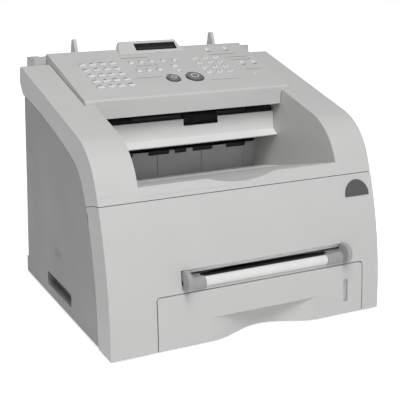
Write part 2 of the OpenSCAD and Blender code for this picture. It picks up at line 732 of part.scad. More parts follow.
module manual_guide_right() color(guide_grey) translate([feed_x, 0, 0]) {
    x0 = feed_half;
    mirror([1, 0, 0]) difference() {
        manual_guide();
        box([-x0 + 6 - eps, 20], [carrier_y + 1, front_y + 70], [80, 100]);
    }
    box([x0 - disc_t - sleeve_l + 3, x0 - 6], [carrier_y + 1 - eps, front_pinion_y - pinion_r - 1.3],
        tongue_z);
    translate([0, front_pinion_y, tongue_z[0]]) rotate([0, 0, 180])
        linear_extrude(tongue_z[1] - tongue_z[0]) rack_shape(-x0 + 12, 13, 1);
}

module pinion(x, y, z0, z1, pin) color(white) {
    translate([x, y, z0]) difference() {
        linear_extrude(z1 - z0) pinion_shape();
        translate([0, 0, -1]) cylinder(h = z1 - z0 + 2, r = pin + run_gap);
    }
}

module manual_pinion() pinion(feed_x, front_pinion_y, tongue_z[0], tongue_z[1], 2.5);

// ---- paper tray ----

scoop_x = path_x + 2.5;
scoop_lean = atan2(face_y(foot_h + scoop_h) - front_y, scoop_h);
level_x = [path_x + 122.3, path_x + 129.3];
level_z = [19, 52];
flag_x = [level_x[0] + 0.7, level_x[1] - 0.7];
flag_h = 11.5;
tray_back = 22;
tray_corner_r = 4;

// The scoop follows the lean of the face and fades out at both ends
module scoop(grow) {
    translate([scoop_x, front_y + 0.1, foot_h]) rotate([-scoop_lean, 0, 0])
        up(-3, scoop_h + grow) polygon(concat(
            [for (a = [-180:15:180]) [a / 180 * (scoop_w / 2 + grow),
                (scoop_d + grow) * 0.5 * (1 + cos(a))]],
            [[scoop_w / 2 + grow, -9], [-scoop_w / 2 - grow, -9]]));
}

module tray_front() color(shell_grey) {
    difference() {
        union() {
            difference() {
                intersection() {
                    face_band(tray_x0, tray_x1, 0, tray_back, foot_h, tray_h);
                    along_y(front_y - 5, front_y + 60)
                        round_rect([tray_x0, -10], [tray_x1, tray_h], tray_corner_r);
                }
                face_band(tray_x0 + wall, tray_x1 - wall, wall, tray_back + 1, foot_h + wall,
                    tray_h - wall);
            }
            intersection() {
                scoop(wall);
                face_band(tray_x0 + 1, tray_x1 - 1, 1, 60, foot_h + eps, tray_h);
            }
            // guide of the level flag, closed behind
            for (x = [flag_x[0] - seat_gap - 1.5, flag_x[1] + seat_gap])
                face_band(x, x + 1.5, wall + 2, 14, level_z[0] - 8, tray_h - 1);
            face_band(flag_x[0] - seat_gap - 1, flag_x[1] + seat_gap + 1, 12.5, 14,
                level_z[0] - 8, tray_h - 1);
        }
        scoop(0);
        along_y(front_y - 5, front_y + 6 + wall) round_rect([level_x[0], level_z[0]],
            [level_x[1], level_z[1]], (level_x[1] - level_x[0]) / 2 - eps);
        face_band(level_x[0] - 2, level_x[1] + 2, wall, wall + 1.6, level_z[0] - 3, level_z[1] + 3);
    }
    for (x = [bin_x0 + 10, bin_x1 - 24]) box([x, x + 12], [front_y + 20, bin_y0 - 0.05],
        [foot_h + 0.5, foot_h + 40]);
    face_band(level_x[0] - 6, level_x[0] - 4, wall - eps, tray_back, foot_h + 1, tray_h - 1);
}

module level_window() color([0.85, 0.87, 0.88])
    face_band(level_x[0] - 1.8, level_x[1] + 1.8, wall + 0.2, wall + 1.4, level_z[0] - 2.7,
        level_z[1] + 2.7);

module level_flag() color(dark)
    box(flag_x, [front_y + 9, front_y + 12], [level_z[1] - 0.5 - flag_h, level_z[1] - 0.5]);

plate_z = [bin_z + 5.6, bin_z + 7.1];
plate_axis = [front_y + 205, bin_z + 6.4];
fence_y = [front_y + 90, front_y + 190];
rack_z = [bin_z + 2 + seat_gap, bin_z + 4.5];
end_y = bin_y1 - 5;
module tray_bin() color(dark) {
    difference() {
        union() {
            difference() {
                box([bin_x0, bin_x1], [bin_y0, bin_y1], [bin_z, bin_h]);
                box([bin_x0 + 2, bin_x1 - 2], [bin_y0 + 2, bin_y1 - 2], [bin_z + 2, bin_h + 1]);
            }
            for (x = [-1, 1]) box(span(path_x + x * 77, [-2, 2]), [plate_axis[0] - 5, plate_axis[0] + 5],
                [bin_z + 1, bin_z + 10]);
            for (x = [-1, 1]) box(span(path_x + x * 17, [-1.5, 1.5]), [plate_axis[0] + 12, bin_y1 - 1],
                [bin_z + 1, bin_z + 5]);
            translate([path_x, tray_pinion_y, bin_z + 1]) cylinder(h = 4, r = 2.5);
        }
        // lowered front edge, clear of the pick-up roller
        box([bin_x0 + 14, bin_x1 - 14], [bin_y0 - 1, bin_y0 + 3], [bin_z + 34, bin_h + 1]);
        rod(path_x - 80, path_x + 80, plate_axis, 1.5 + run_gap);
    }
}

module lift_plate() color(steel) {
    y0 = bin_y0 + 4;
    box(span(path_x, [-106, 106]), [y0, fence_y[0] - 3], plate_z);
    box(span(path_x, [-66, 66]), [fence_y[0] - 3 - eps, plate_axis[0]], plate_z);
    rod(path_x - 78, path_x + 78, plate_axis, 1.5);
    for (x = [-74, 66]) box(span(path_x + x, [0, 8]), [plate_axis[0] - 8, plate_axis[0]], plate_z);
    box(span(path_x, [-20, 20]), [y0 + 25, y0 + 40], [plate_z[1] - eps, plate_z[1] + 0.8]);
}

// One paper guide on the left of the bin, its rack on the pinion's rear side
module tray_fence() {
    x0 = -tray_guide_x;
    box([x0 - 2.5, x0], fence_y, [rack_z[0], bin_h - 14]);
    for (y = [fence_y[0], (fence_y[0] + fence_y[1]) / 2, fence_y[1] - 2])
        up_rib(x0 - 2.5, y);
}
module up_rib(x, y) {
    along_y(y, y + 2) polygon([[x + eps, rack_z[0]], [x - 1.2, rack_z[0]], [x - 1.2, 20],
        [x + eps, 40]]);
}
module tray_guide_left() color(guide_grey) translate([path_x, 0, 0]) {
    tray_fence();
    x0 = -tray_guide_x;
    box([x0 - eps, x0 + 14], [fence_y[0], tray_pinion_y + pinion_r + 6], rack_z);
    translate([0, tray_pinion_y, rack_z[0]]) linear_extrude(rack_z[1] - rack_z[0])
        rack_shape(x0 + 12, 13, 3);
}
module tray_guide_right() color(guide_grey) translate([path_x, 0, 0]) rotate([0, 0, 180]) {
    x0 = -tray_guide_x;
    translate([0, -2 * tray_pinion_y, 0]) {
        translate([0, tray_pinion_y, rack_z[0]]) linear_extrude(rack_z[1] - rack_z[0])
            rack_shape(x0 + 12, 13, 3);
        box([x0 - eps, x0 + 14], [fence_y[0], tray_pinion_y + pinion_r + 6], rack_z);
    }
    translate([0, -fence_y[0] - fence_y[1], 0]) tray_fence();
}
module tray_pinion() pinion(path_x, tray_pinion_y, rack_z[0], rack_z[1], 2.5);

module tray_end_guide() color(guide_grey) {
    box(span(path_x, [-15, 15]), [end_y - 45, end_y], rack_z);
    box(span(path_x, [-15, 15]), [end_y - 2.5, end_y], [rack_z[0], bin_h - 12]);
    for (x = [-10, 8]) along_x(path_x + x, path_x + x + 2)
        polygon([[end_y - 2.5 + eps, rack_z[0]], [end_y - 26, rack_z[0]], [end_y - 26, rack_z[1] + 2],
            [end_y - 2.5 + eps, bin_h - 18]]);
}

// ---- engine ----

shaft_x = [frame_x0 - frame_t - 1.5, frame_x1 + frame_t + 4];
module roller(at, r, spans) {
    color(steel) rod(shaft_x[0], shaft_x[1], at, shaft_r);
    color(rubber) for (s = spans) rod(s[0], s[1], at, r);
}
full_span = [[frame_x0 + 4, frame_x1 - 4]];
module pickup_roller() roller(pickup, pickup_r, [span(path_x, [-22, 22])]);
module drum() roller(drum_at, drum_r, full_span);
module transfer_roller() roller(drum_at - [0, drum_r + transfer_r + seat_gap], transfer_r, full_span);
module heat_roller() roller(fuser_at, heat_r, full_span);
module pressure_roller() roller(fuser_at - [0, heat_r + press_r + seat_gap], press_r, full_span);
module print_exit_roller() roller([exit_y, exit_z], exit_roller_r,
    [for (e = exit_rollers) span(path_x + e[0], [-e[1], e[1]])]);

module laser_scanner() color(dark) {
    y = [front_y + 150, front_y + 240];
    box([frame_x0 + 10, frame_x1 - 10], y, [98 + 0.05, 134]);
    box([path_x - 20, path_x + 24], [y[0] + 30, y[1] - 14], [134 - eps, 139]);
}

module toner_cartridge() color(dark) difference() {
    along_x(frame_x0 + 0.5, frame_x1 - 0.5) polygon([[front_y + 60, 115], [front_y + 64, 104],
        [front_y + 100, 104], [front_y + 104, 113.5], [front_y + 140, 113.5], [front_y + 143, 120],
        [front_y + 143, 148], [front_y + 132, 158], [front_y + 76, 158], [front_y + 66, 146]]);
    box([path_x - 40, path_x + 40], [front_y + 84, front_y + 116], [152, 160]);
}

module fuser_housing() color(dark) difference() {
    x = [frame_x0 + seat_gap, frame_x1 - seat_gap];
    p = fuser_at;
    along_x(x[0], x[1]) translate(p) polygon([[-22, -44], [24, -44], [24, 20], [-22, 20]]);
    along_x(x[0] + 3, x[1] - 3) translate(p) polygon([[-19, -41], [21, -41], [21, 17], [-19, 17]]);
    box(x + [4, -4], span(p[0], [-23, 26]), span(p[1], [-17, -8]));
    for (z = [0, -heat_r - press_r - seat_gap]) rod(x[0] - 1, x[1] + 1, p + [0, z], shaft_r + run_gap);
}

module drive_unit() color(dark) difference() {
    union() {
        box([frame_x1 + frame_t + 0.05, frame_x1 + frame_t + 22], [front_y + 66, rear_y - 66], [62, 172]);
        rod(frame_x1 + frame_t + 21, frame_x1 + frame_t + 32, motor_at, 21);
    }
    for (at = [pickup, drum_at, drum_at - [0, drum_r + transfer_r + seat_gap], fuser_at,
        fuser_at - [0, heat_r + press_r + seat_gap]])
        rod(frame_x1, shaft_x[1] + 1, at, shaft_r + 0.5);
}

module main_board() {
    color(board_green) box([board_x, board_x + 1.6], board_y, board_z);
    color(dark) {
        box(span(board_x, [-3, eps]), [front_y + 160, front_y + 190], [120, 150]);
        box(span(board_x, [-2.5, eps]), [front_y + 220, front_y + 240], [100, 140]);
        for (k = [0:3]) box(span(board_x, [-7, eps]), span(front_y + 150 + 34 * k, [0, 20]), [208, 214]);
        for (k = [0:2]) rod(board_x - 14, board_x + eps, [front_y + 260 + 18 * k, 180], 6);
    }
}

module power_supply() {
    x0 = frame_x0 - frame_t - 50.8;
    color(steel) box([x0, x0 + 50], [front_y + 170, rear_y - 34], [base_z + 0.05, base_z + 3]);
    color(board_green) box([x0 + 2, x0 + 48], [front_y + 174, rear_y - 38], [base_z + 3, base_z + 4.6]);
    color(dark) {
        box([x0 + 6, x0 + 32], [front_y + 190, front_y + 222], span(base_z, [4.6 - eps, 34]));
        for (k = [0:2]) translate([x0 + 40, front_y + 186 + 20 * k, base_z + 4.6 - eps])
            cylinder(h = 24, r = 6);
        box([x0 + 10, x0 + 14], [front_y + 232, front_y + 290], span(base_z, [4.6 - eps, 40]));
    }
}

module speaker() color(dark) {
    x0 = -half_w + wall + seat_gap;
    difference() {
        union() {
            rod(x0, x0 + 4, speaker_at, 24);
            rod(x0 + 3, x0 + 14, speaker_at, 12);
        }
        rod(x0 - 1, x0 + 2.5, speaker_at, 20);
    }
}

// ---- document scanner ----

module document_chute() color(white) {
    lip = [rear_y - 177.5, lip_z + 5];
    fold = [rear_y - 167, lip_z + 11.6];
    top = scan_exit_at + [-11.9, 1.1];
    x = cheek_x - 0.5;
    difference() {
        along_x(-x, x) polygon([lip, fold, top, top + [2, 0], fold + [2.2, -1.4], lip + [1, -1.8]]);
        box([path_x - 21, path_x + 33.5], [top[0] - 9, top[0] + 9], [top[1] - 9.6, top[1] + 1]);
    }
    for (x = [-130, -55, 70, 88]) along_x(x, x + 2) polygon([fold + [2 - eps, 0], top + [2 - eps, -2],
        top + [4.5, -4], fold + [5, 4]]);
}

module scan_base() color(dark) {
    a = [path_y0 + 4, path_z(path_y0 + 4)];
    b = [path_y1, path_z(path_y1)];
    x = cheek_x - 0.5;
    difference() {
        union() {
            along_x(-x, x) polygon([a, b, b - [0, 4], a - [0, 4]]);
            along_x(-x, x) polygon([a - [0, 1], a - [-3, 0], a - [-3, 18], a - [0, 18]]);
            for (p = [scan_exit_at, scan_feed_at]) both() along_x(x - 6, x)
                translate(p) polygon([[-7, -6], [7, -6], [7, 8], [-7, 4]]);
        }
        for (s = exit_spans) rod(s[0] - 1.5, s[1] + 1.5, scan_exit_at, scan_roller_r + 1);
        for (s = feed_spans) rod(s[0] - 1.5, s[1] + 1.5, scan_feed_at, scan_roller_r + 1);
        for (p = [scan_exit_at, scan_feed_at]) rod(-x - 1, x + 1, p, shaft_r + run_gap);
        along_x(doc_x - 110.4, doc_x + 110.4) translate([sensor_y, path_z(sensor_y)]) rotate(path_a)
            translate([-9, -30]) square([18, 40]);
    }
}

exit_spans = [span(path_x, [-20, 32.5]), [-110, -80], [100, 130]];
feed_spans = [span(doc_x, [-70, -40]), span(doc_x, [-20, 20]), span(doc_x, [40, 70])];
module scan_roller(at, spans) {
    color(steel) rod(-cheek_x + 1, cheek_x - 1, at, shaft_r);
    color(rubber) for (s = spans) rod(s[0], s[1], at, scan_roller_r);
}
module document_exit_roller() scan_roller(scan_exit_at, exit_spans);
module scan_feed_roller() scan_roller(scan_feed_at, feed_spans);

sensor_y = rear_y - 102;
module image_sensor() color(dark) along_x(doc_x - 110, doc_x + 110)
    translate([sensor_y, path_z(sensor_y)]) rotate(path_a) translate([-8.6, -13]) square([17.2, 12.8]);

// Rear housing with the sloping document bed between its wings
fin_t = 5;
fin_x = doc_w / 2 + fin_t;
stem_y = [doc_pinion_y - 1.5, doc_pinion_y + 1.5];
doc_rack_z = [bed_z - 17, bed_z - 14.6];
bed_line = [[tail_y + 0.4, path_z1 + 0.6], [rear_y - 33, path_z1 + 3], [rear_y - 6, bed_z - 0.5],
    [rear_y - 3, bed_z]];
wing_x = panel_half_w + 0.6;
module document_feeder() color(side_grey) difference() {
    union() {
        difference() {
            along_x(-rear_half_w, rear_half_w) polygon(concat(bed_line, [[rear_y, bed_z - 3],
                [rear_y, rear_z], [tail_y + 0.4, rear_z]]));
            along_x(-rear_half_w + wall, rear_half_w - wall) polygon([[tail_y + 3, rear_z - 1],
                bed_line[0] + [2.6, -3], bed_line[1] - [-1, 3.2], bed_line[2] - [0, 3.4],
                [rear_y - 3, bed_z - 6], [rear_y - 3, rear_z - 1]]);
        }
        both() along_x(rear_half_w - wall, rear_half_w) polygon([[side_rear_y + part_gap, rear_z],
            [tail_y + 1, rear_z], [tail_y + 1, tail[4][1] - 2], [side_rear_y + 11, strip_end[1] + 2],
            [side_rear_y + part_gap, strip_end[1] + 2]]);
        both() along_x(wing_x, rear_half_w) polygon([[rear_y - 34, path_z1],
            [rear_y - 34, bed_z + 5], [rear_y - 31, bed_z + 8.2], [rear_y - 8, bed_z + 8.2],
            [rear_y - 3, bed_z + 5.8], [rear_y, bed_z + 0.5], [rear_y, bed_z - 6],
            [rear_y - 34, path_z1 - 4]]);
        box([-rear_half_w + 1, rear_half_w - 1], [tail_y + 2, rear_y - 1],
            [doc_rack_z[0] - seat_gap - 2, doc_rack_z[0] - seat_gap]);
        translate([doc_x, doc_pinion_y, doc_rack_z[0] - 1]) cylinder(h = 4.5, r = 2.5);
    }
    for (s = [-1, 1]) box(span(doc_x + s * (fin_x - fin_t / 2 - guide_travel / 2),
        (guide_travel + fin_t + 1) / 2 * [-1, 1]), stem_y + [-0.4, 0.4], [bed_z - 14, bed_z + 5]);
    rod(-wing_x - 9, wing_x + 9, panel_axis, pin_r + run_gap);
}

// One document guide on the left: fin, stem through the bed, rack on the pinion's rear side
module fin() {
    along_x(-fin_x, -fin_x + fin_t) polygon([[rear_y - 27, bed_z - 3.7], [rear_y - 15, guide_top_z - 1],
        [rear_y - 13.5, guide_top_z], [rear_y - 8, guide_top_z], [rear_y - 6.5, guide_top_z - 1],
        [rear_y - 2.5, bed_z + 0.6], [rear_y - 6, bed_z + 0.1], [rear_y - 26.5, bed_z - 6.6]]);
    box([-fin_x, -fin_x + fin_t], stem_y, [doc_rack_z[0], bed_z + 2]);
}
module document_guide_left() color(side_grey) translate([doc_x, 0, 0]) {
    fin();
    box([-fin_x, -fin_x + fin_t], [stem_y[0], doc_pinion_y + pinion_r + 4], doc_rack_z);
    translate([0, doc_pinion_y, doc_rack_z[0]]) linear_extrude(doc_rack_z[1] - doc_rack_z[0])
        rack_shape(-fin_x + 4, 13, 2);
}
module document_guide_right() color(side_grey) translate([doc_x, 0, 0]) {
    mirror([1, 0, 0]) fin();
    box([fin_x - fin_t, fin_x], [doc_pinion_y - pinion_r - 4, stem_y[1]], doc_rack_z);
    translate([0, doc_pinion_y, doc_rack_z[0]]) rotate([0, 0, 180])
        linear_extrude(doc_rack_z[1] - doc_rack_z[0]) rack_shape(-fin_x + 4, 13, 2);
}
module document_pinion() pinion(doc_x, doc_pinion_y, doc_rack_z[0], doc_rack_z[1], 2.5);

// ---- control panel ----

under_y = rear_y - 140;
module panel_housing() color(shell_grey) difference() {
    edge = [[panel_y0, panel_z0 - 2.5], [panel_y0 + 0.7, panel_z0 - 0.8], [panel_y0 + 2.5,
        panel_z(panel_y0 + 2.5)], [panel_y1 - 1.5, panel_z(panel_y1 - 1.5)], [panel_y1, panel_z1 - 1.5]];
    union() {
        along_x(-panel_half_w, panel_half_w) polygon(concat(edge,
            [[panel_y1, top_z(panel_y1) - 4.5], [panel_y0, top_z(panel_y0) - panel_sink]]));
        along_x(-chin_x, chin_x) polygon(concat(edge, [[panel_y1, path_z(panel_y1) + 3.2],
            [under_y, path_z(under_y) + 3.2], [under_y - 8, chin_z], [panel_y0, chin_z]]));
        both() for (x = [panel_half_w - 6]) {
            rod(x, panel_half_w - 0.6, panel_axis, 5.2);
            along_x(x, panel_half_w - 0.6) polygon([panel_axis + [0, 5.2], panel_axis - [0, 5.2],
                panel_axis - [8, 3], panel_axis - [8, -7]]);
            rod(x, wing_x + 8, panel_axis, pin_r);
        }
    }
    along_x(-panel_half_w + wall, panel_half_w - wall) polygon([
        [panel_y0 + wall, top_z(panel_y0) - panel_sink + wall], [panel_y0 + wall,
        panel_z(panel_y0 + wall) - wall - 0.4], [panel_y1 - wall, panel_z(panel_y1 - wall) - wall],
        [panel_y1 - wall, top_z(panel_y1) - 4.5 + wall]]);
    along_x(-chin_x + wall, chin_x - wall) polygon([[panel_y0 + wall, chin_z - 1],
        [panel_y0 + wall, panel_z(panel_y0 + wall) - wall - 0.4],
        [panel_y1 - wall, panel_z(panel_y1 - wall) - wall], [panel_y1 - wall, path_z(panel_y1) + 1],
        [under_y, path_z(under_y) + 1], [under_y - 8, chin_z - 1]]);
    on_panel() translate([0, 0, -wall - 2]) linear_extrude(wall + 4) {
        for (k = one_touch_at) translate(k) square(one_touch_size + 2 * key_gap * [1, 1], center = true);
        for (k = number_at) translate(k) round_key(number_size, key_gap);
        for (k = function_at) translate([k[0], k[1]]) circle(k[2] + key_gap);
        translate(start_at) circle(start_r + key_gap);
        translate(stop_at) circle(stop_r + key_gap);
    }
}

module panel_base() color(dark) {
    x = chin_x - wall - seat_gap;
    g = 3.2;
    y1 = panel_y1 - wall - seat_gap;
    along_x(-x, x) polygon([[panel_y0 + wall + seat_gap, chin_z], [under_y - 8, chin_z],
        [under_y, path_z(under_y) + g], [y1, path_z(y1) + g], [y1, path_z(y1) + g + 2],
        [under_y - 1, path_z(under_y) + g + 2], [under_y - 9, chin_z + 2],
        [panel_y0 + wall + seat_gap, chin_z + 2]]);
    for (x = [-90, 0, 90], s = [14, 118]) on_panel() translate([x, s, board_h - 6])
        cylinder(h = 6 - 1.6 - 0.05, r = 3);
}

board_h = -8;
board_half_w = chin_x - wall - 2 * seat_gap;
module panel_board() color(board_green) on_panel()
    translate([-board_half_w, 8, board_h - 1.6]) cube([2 * board_half_w, 116, 1.6]);

one_touch_at = [for (x = [-120:15:-75], s = [35.3, 52.9, 70.6, 88.2, 105.8]) [x, s]];
one_touch_size = [10, 5.5];
number_at = [for (x = [56, 73, 90], s = [57.5, 73, 89, 104.8]) [x, s]];
number_size = [10, 7];
function_at = [[90.8, 134.8, 4], [121.6, 134.9, 4], [123, 83.3, 4], [142.3, 82.3, 4],
    [124.2, 44.9, 2.4], [-46, 104, 4], [-30, 104, 4], [-14, 104, 4], [4, 104, 3.4], [22, 104, 3.4],
    [-46, 76, 4], [-30, 76, 4], [-14, 76, 4], [13, 84, 5], [13, 70, 3.4]];
start_at = [27.2, 47.2];
start_r = 11.5;
stop_at = [-6.2, 47];
stop_r = 9;
key_rise = 1.8;

module round_key(size, g) {
    r = size[1] / 2 + g;
    square([size[0] - size[1], 2 * r], center = true);
    for (s = [-1, 1]) translate([s * (size[0] - size[1]) / 2, 0]) circle(r);
}

// Keycap pushed up through the panel, with a flange below it
module cap(h) {
    translate([0, 0, board_h + key_travel + 0.4]) linear_extrude(h - board_h - key_travel - 0.4) children();
}
module one_touch_keys() color(white) on_panel() for (k = one_touch_at)
    translate(k) cap(key_rise) square(one_touch_size, center = true);
module number_keys() color(white) on_panel() for (k = number_at)
    translate(k) cap(key_rise) round_key(number_size, 0);
module function_keys() color(white) on_panel() for (k = function_at)
    translate([k[0], k[1]]) cap(key_rise) circle(k[2]);
module start_key() color(side_grey) on_panel() translate(start_at) cap(key_rise + 0.8) circle(start_r);
module stop_key() color(guide_grey) on_panel() translate(stop_at) cap(key_rise + 0.8) circle(stop_r);

bezel_y = panel_y0 + 134 * cos(panel_slope);
bezel_z = panel_z1 + 10;
bezel_top_y = rear_y - 32;
module bezel_profile() polygon([[bezel_y, panel_z(bezel_y) + 0.05], [bezel_y, panel_z(bezel_y) + 1],
    [bezel_top_y, bezel_z], [bezel_top_y + 2, bezel_z], [bezel_top_y + 2, panel_z1 + 3],
    [panel_y1 - 0.6, panel_z1 + 0.05]]);
module display_bezel() color(shell_grey) difference() {
    intersection() {
        along_x(-54, 54) bezel_profile();
        along_y(bezel_y - 1, rear_y) polygon([[-53, bezel_z - 17], [-45, bezel_z + 1],
            [45, bezel_z + 1], [53, bezel_z - 17]]);
    }
    on_window(2, 1.6);
}
window_a = atan2(bezel_z - panel_z(bezel_y) - 1, bezel_top_y - bezel_y);
module on_window(h, deep) {
    translate([10, bezel_y, panel_z(bezel_y) + 1]) rotate([window_a, 0, 0])
        translate([-33, 6, -deep]) cube([66, 14.5, deep + h]);
}
module display_window() color([0.30, 0.33, 0.30]) on_window(-0.6, 1.55);

base_pan();
feet();
left_frame();
right_frame();
cross_plate();
left_side_cover();
right_side_cover();
upper_cover();
document_chute();
scan_base();
image_sensor();
document_feeder();
rear_panel();
rear_door();
ac_inlet();
power_switch();
rear_jacks();
laser_scanner();
toner_cartridge();
drum();
transfer_roller();
pickup_roller();
fuser_housing();
heat_roller();
pressure_roller();
print_exit_roller();
scan_feed_roller();
document_exit_roller();
drive_unit();
main_board();
power_supply();
speaker();
front_cover();
feed_ledge();
badge();
manual_guide_left();
manual_guide_right();
manual_pinion();
tray_front();
tray_bin();
level_window();
lift_plate();
tray_guide_left();
tray_guide_right();
tray_pinion();
tray_end_guide();
level_flag();
panel_housing();
panel_base();
display_bezel();
display_window();
panel_board();
one_touch_keys();
number_keys();
function_keys();
start_key();
stop_key();
document_guide_left();
document_guide_right();
document_pinion();
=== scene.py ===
import json
import math

import bmesh
import bpy
from mathutils import Matrix, Vector


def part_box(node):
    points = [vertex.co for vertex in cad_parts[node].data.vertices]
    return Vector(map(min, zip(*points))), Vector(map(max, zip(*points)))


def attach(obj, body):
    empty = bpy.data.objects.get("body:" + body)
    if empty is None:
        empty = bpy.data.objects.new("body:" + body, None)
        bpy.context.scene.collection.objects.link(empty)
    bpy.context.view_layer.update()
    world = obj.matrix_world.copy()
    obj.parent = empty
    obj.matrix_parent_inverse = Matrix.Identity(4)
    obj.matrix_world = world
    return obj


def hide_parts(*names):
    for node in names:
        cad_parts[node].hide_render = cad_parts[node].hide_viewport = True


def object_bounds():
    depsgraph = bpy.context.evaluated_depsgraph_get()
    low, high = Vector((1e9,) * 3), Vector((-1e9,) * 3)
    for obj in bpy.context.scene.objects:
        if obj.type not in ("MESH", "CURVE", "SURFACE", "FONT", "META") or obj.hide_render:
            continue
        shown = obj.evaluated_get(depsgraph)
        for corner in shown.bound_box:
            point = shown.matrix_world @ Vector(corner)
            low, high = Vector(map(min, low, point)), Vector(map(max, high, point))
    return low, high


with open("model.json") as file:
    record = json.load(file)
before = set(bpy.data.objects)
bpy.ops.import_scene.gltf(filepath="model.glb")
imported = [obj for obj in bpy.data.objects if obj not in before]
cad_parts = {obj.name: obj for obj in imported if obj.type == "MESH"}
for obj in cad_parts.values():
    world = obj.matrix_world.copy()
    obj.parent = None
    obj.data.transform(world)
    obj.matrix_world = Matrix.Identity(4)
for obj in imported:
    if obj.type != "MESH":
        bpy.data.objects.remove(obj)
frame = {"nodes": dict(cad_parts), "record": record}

mm = 0.001
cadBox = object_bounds()
nodes = frame["nodes"]
bodies = frame["record"]["behaviour"]["bodies"]
bodyOf = {n: body for body, members in bodies.items() for n in members}
slotOf = {s["node"]: s["material_slot"] for s in frame["record"]["subparts"]}
print("frame loaded,", len(nodes), "nodes")


def toLinear(hexText):
    parts = [int(hexText[i:i + 2], 16) / 255 for i in (1, 3, 5)]
    return [p / 12.92 if p <= 0.04045 else ((p + 0.055) / 1.055) ** 2.4 for p in parts] + [1.0]


def addNode(tree, kind, settings=None, inputs=None):
    node = tree.nodes.new(kind)
    for name, value in (settings or {}).items():
        setattr(node, name, value)
    for name, value in (inputs or {}).items():
        if isinstance(value, bpy.types.NodeSocket):
            tree.links.new(value, node.inputs[name])
        else:
            node.inputs[name].default_value = value
    return node


def newMaterial(name):
    material = bpy.data.materials.new(name)
    material.use_nodes = True
    material.node_tree.nodes.clear()
    return material, material.node_tree


# Injection-moulded plastic: the spark-eroded tool leaves a fine grain, and flow leaves a faint
# cloudiness of tone and gloss. The grain is drawn coarser than the real 0.1 mm so that it shows.
def mouldedPlastic(name, look):
    material, tree = newMaterial(name)
    place = addNode(tree, "ShaderNodeTexCoord")
    grain = addNode(tree, "ShaderNodeTexNoise", inputs={
        "Vector": place.outputs["Object"], "Scale": 1 / (look["grainMm"] * mm),
        "Detail": 3.0, "Roughness": 0.6})
    cloud = addNode(tree, "ShaderNodeTexNoise", inputs={
        "Vector": place.outputs["Object"], "Scale": 1 / (look["cloudMm"] * mm),
        "Detail": 4.0, "Roughness": 0.55})
    color = toLinear(look["color"])[:3]
    spread = look.get("spread", 0.03)
    glossSpread = 0.05
    tone = addNode(tree, "ShaderNodeMix", {"data_type": "RGBA"}, {
        "Factor": cloud.outputs["Fac"],
        "A": [c * (1 - spread) for c in color] + [1],
        "B": [min(1, c * (1 + spread)) for c in color] + [1]})
    shine = addNode(tree, "ShaderNodeMapRange", inputs={
        "Value": cloud.outputs["Fac"], "From Min": 0.3, "From Max": 0.7,
        "To Min": look["roughness"] - glossSpread, "To Max": look["roughness"] + glossSpread})
    bump = addNode(tree, "ShaderNodeBump", inputs={
        "Height": grain.outputs["Fac"], "Strength": 0.25, "Distance": look["grainDepthMm"] * mm})
    shader = addNode(tree, "ShaderNodeBsdfPrincipled", inputs={
        "Base Color": tone.outputs["Result"], "Roughness": shine.outputs["Result"],
        "Normal": bump.outputs["Normal"], "IOR": 1.52, "Alpha": look.get("alpha", 1.0)})
    addNode(tree, "ShaderNodeOutputMaterial", inputs={"Surface": shader.outputs["BSDF"]})
    return material


# Drawn or rolled metal: fine lines along the way it was drawn, which stretch the highlight
def drawnMetal(name, look):
    material, tree = newMaterial(name)
    place = addNode(tree, "ShaderNodeTexCoord")
    turn = addNode(tree, "ShaderNodeMapping", inputs={
        "Vector": place.outputs["Object"], "Scale": look["stretch"]})
    lines = addNode(tree, "ShaderNodeTexNoise", inputs={
        "Vector": turn.outputs["Vector"], "Scale": 1 / (look["grainMm"] * mm), "Detail": 4.0})
    glossSpread = 0.08
    tone = addNode(tree, "ShaderNodeMix", {"data_type": "RGBA"}, {
        "Factor": lines.outputs["Fac"], "A": toLinear(look["dark"]), "B": toLinear(look["color"])})
    shine = addNode(tree, "ShaderNodeMapRange", inputs={
        "Value": lines.outputs["Fac"],
        "To Min": look["roughness"] - glossSpread, "To Max": look["roughness"] + glossSpread})
    bump = addNode(tree, "ShaderNodeBump", inputs={
        "Height": lines.outputs["Fac"], "Strength": 0.15, "Distance": look["grainDepthMm"] * mm})
    shader = addNode(tree, "ShaderNodeBsdfPrincipled", inputs={
        "Base Color": tone.outputs["Result"], "Metallic": 1.0, "Roughness": shine.outputs["Result"],
        "Normal": bump.outputs["Normal"]})
    addNode(tree, "ShaderNodeOutputMaterial", inputs={"Surface": shader.outputs["BSDF"]})
    return material


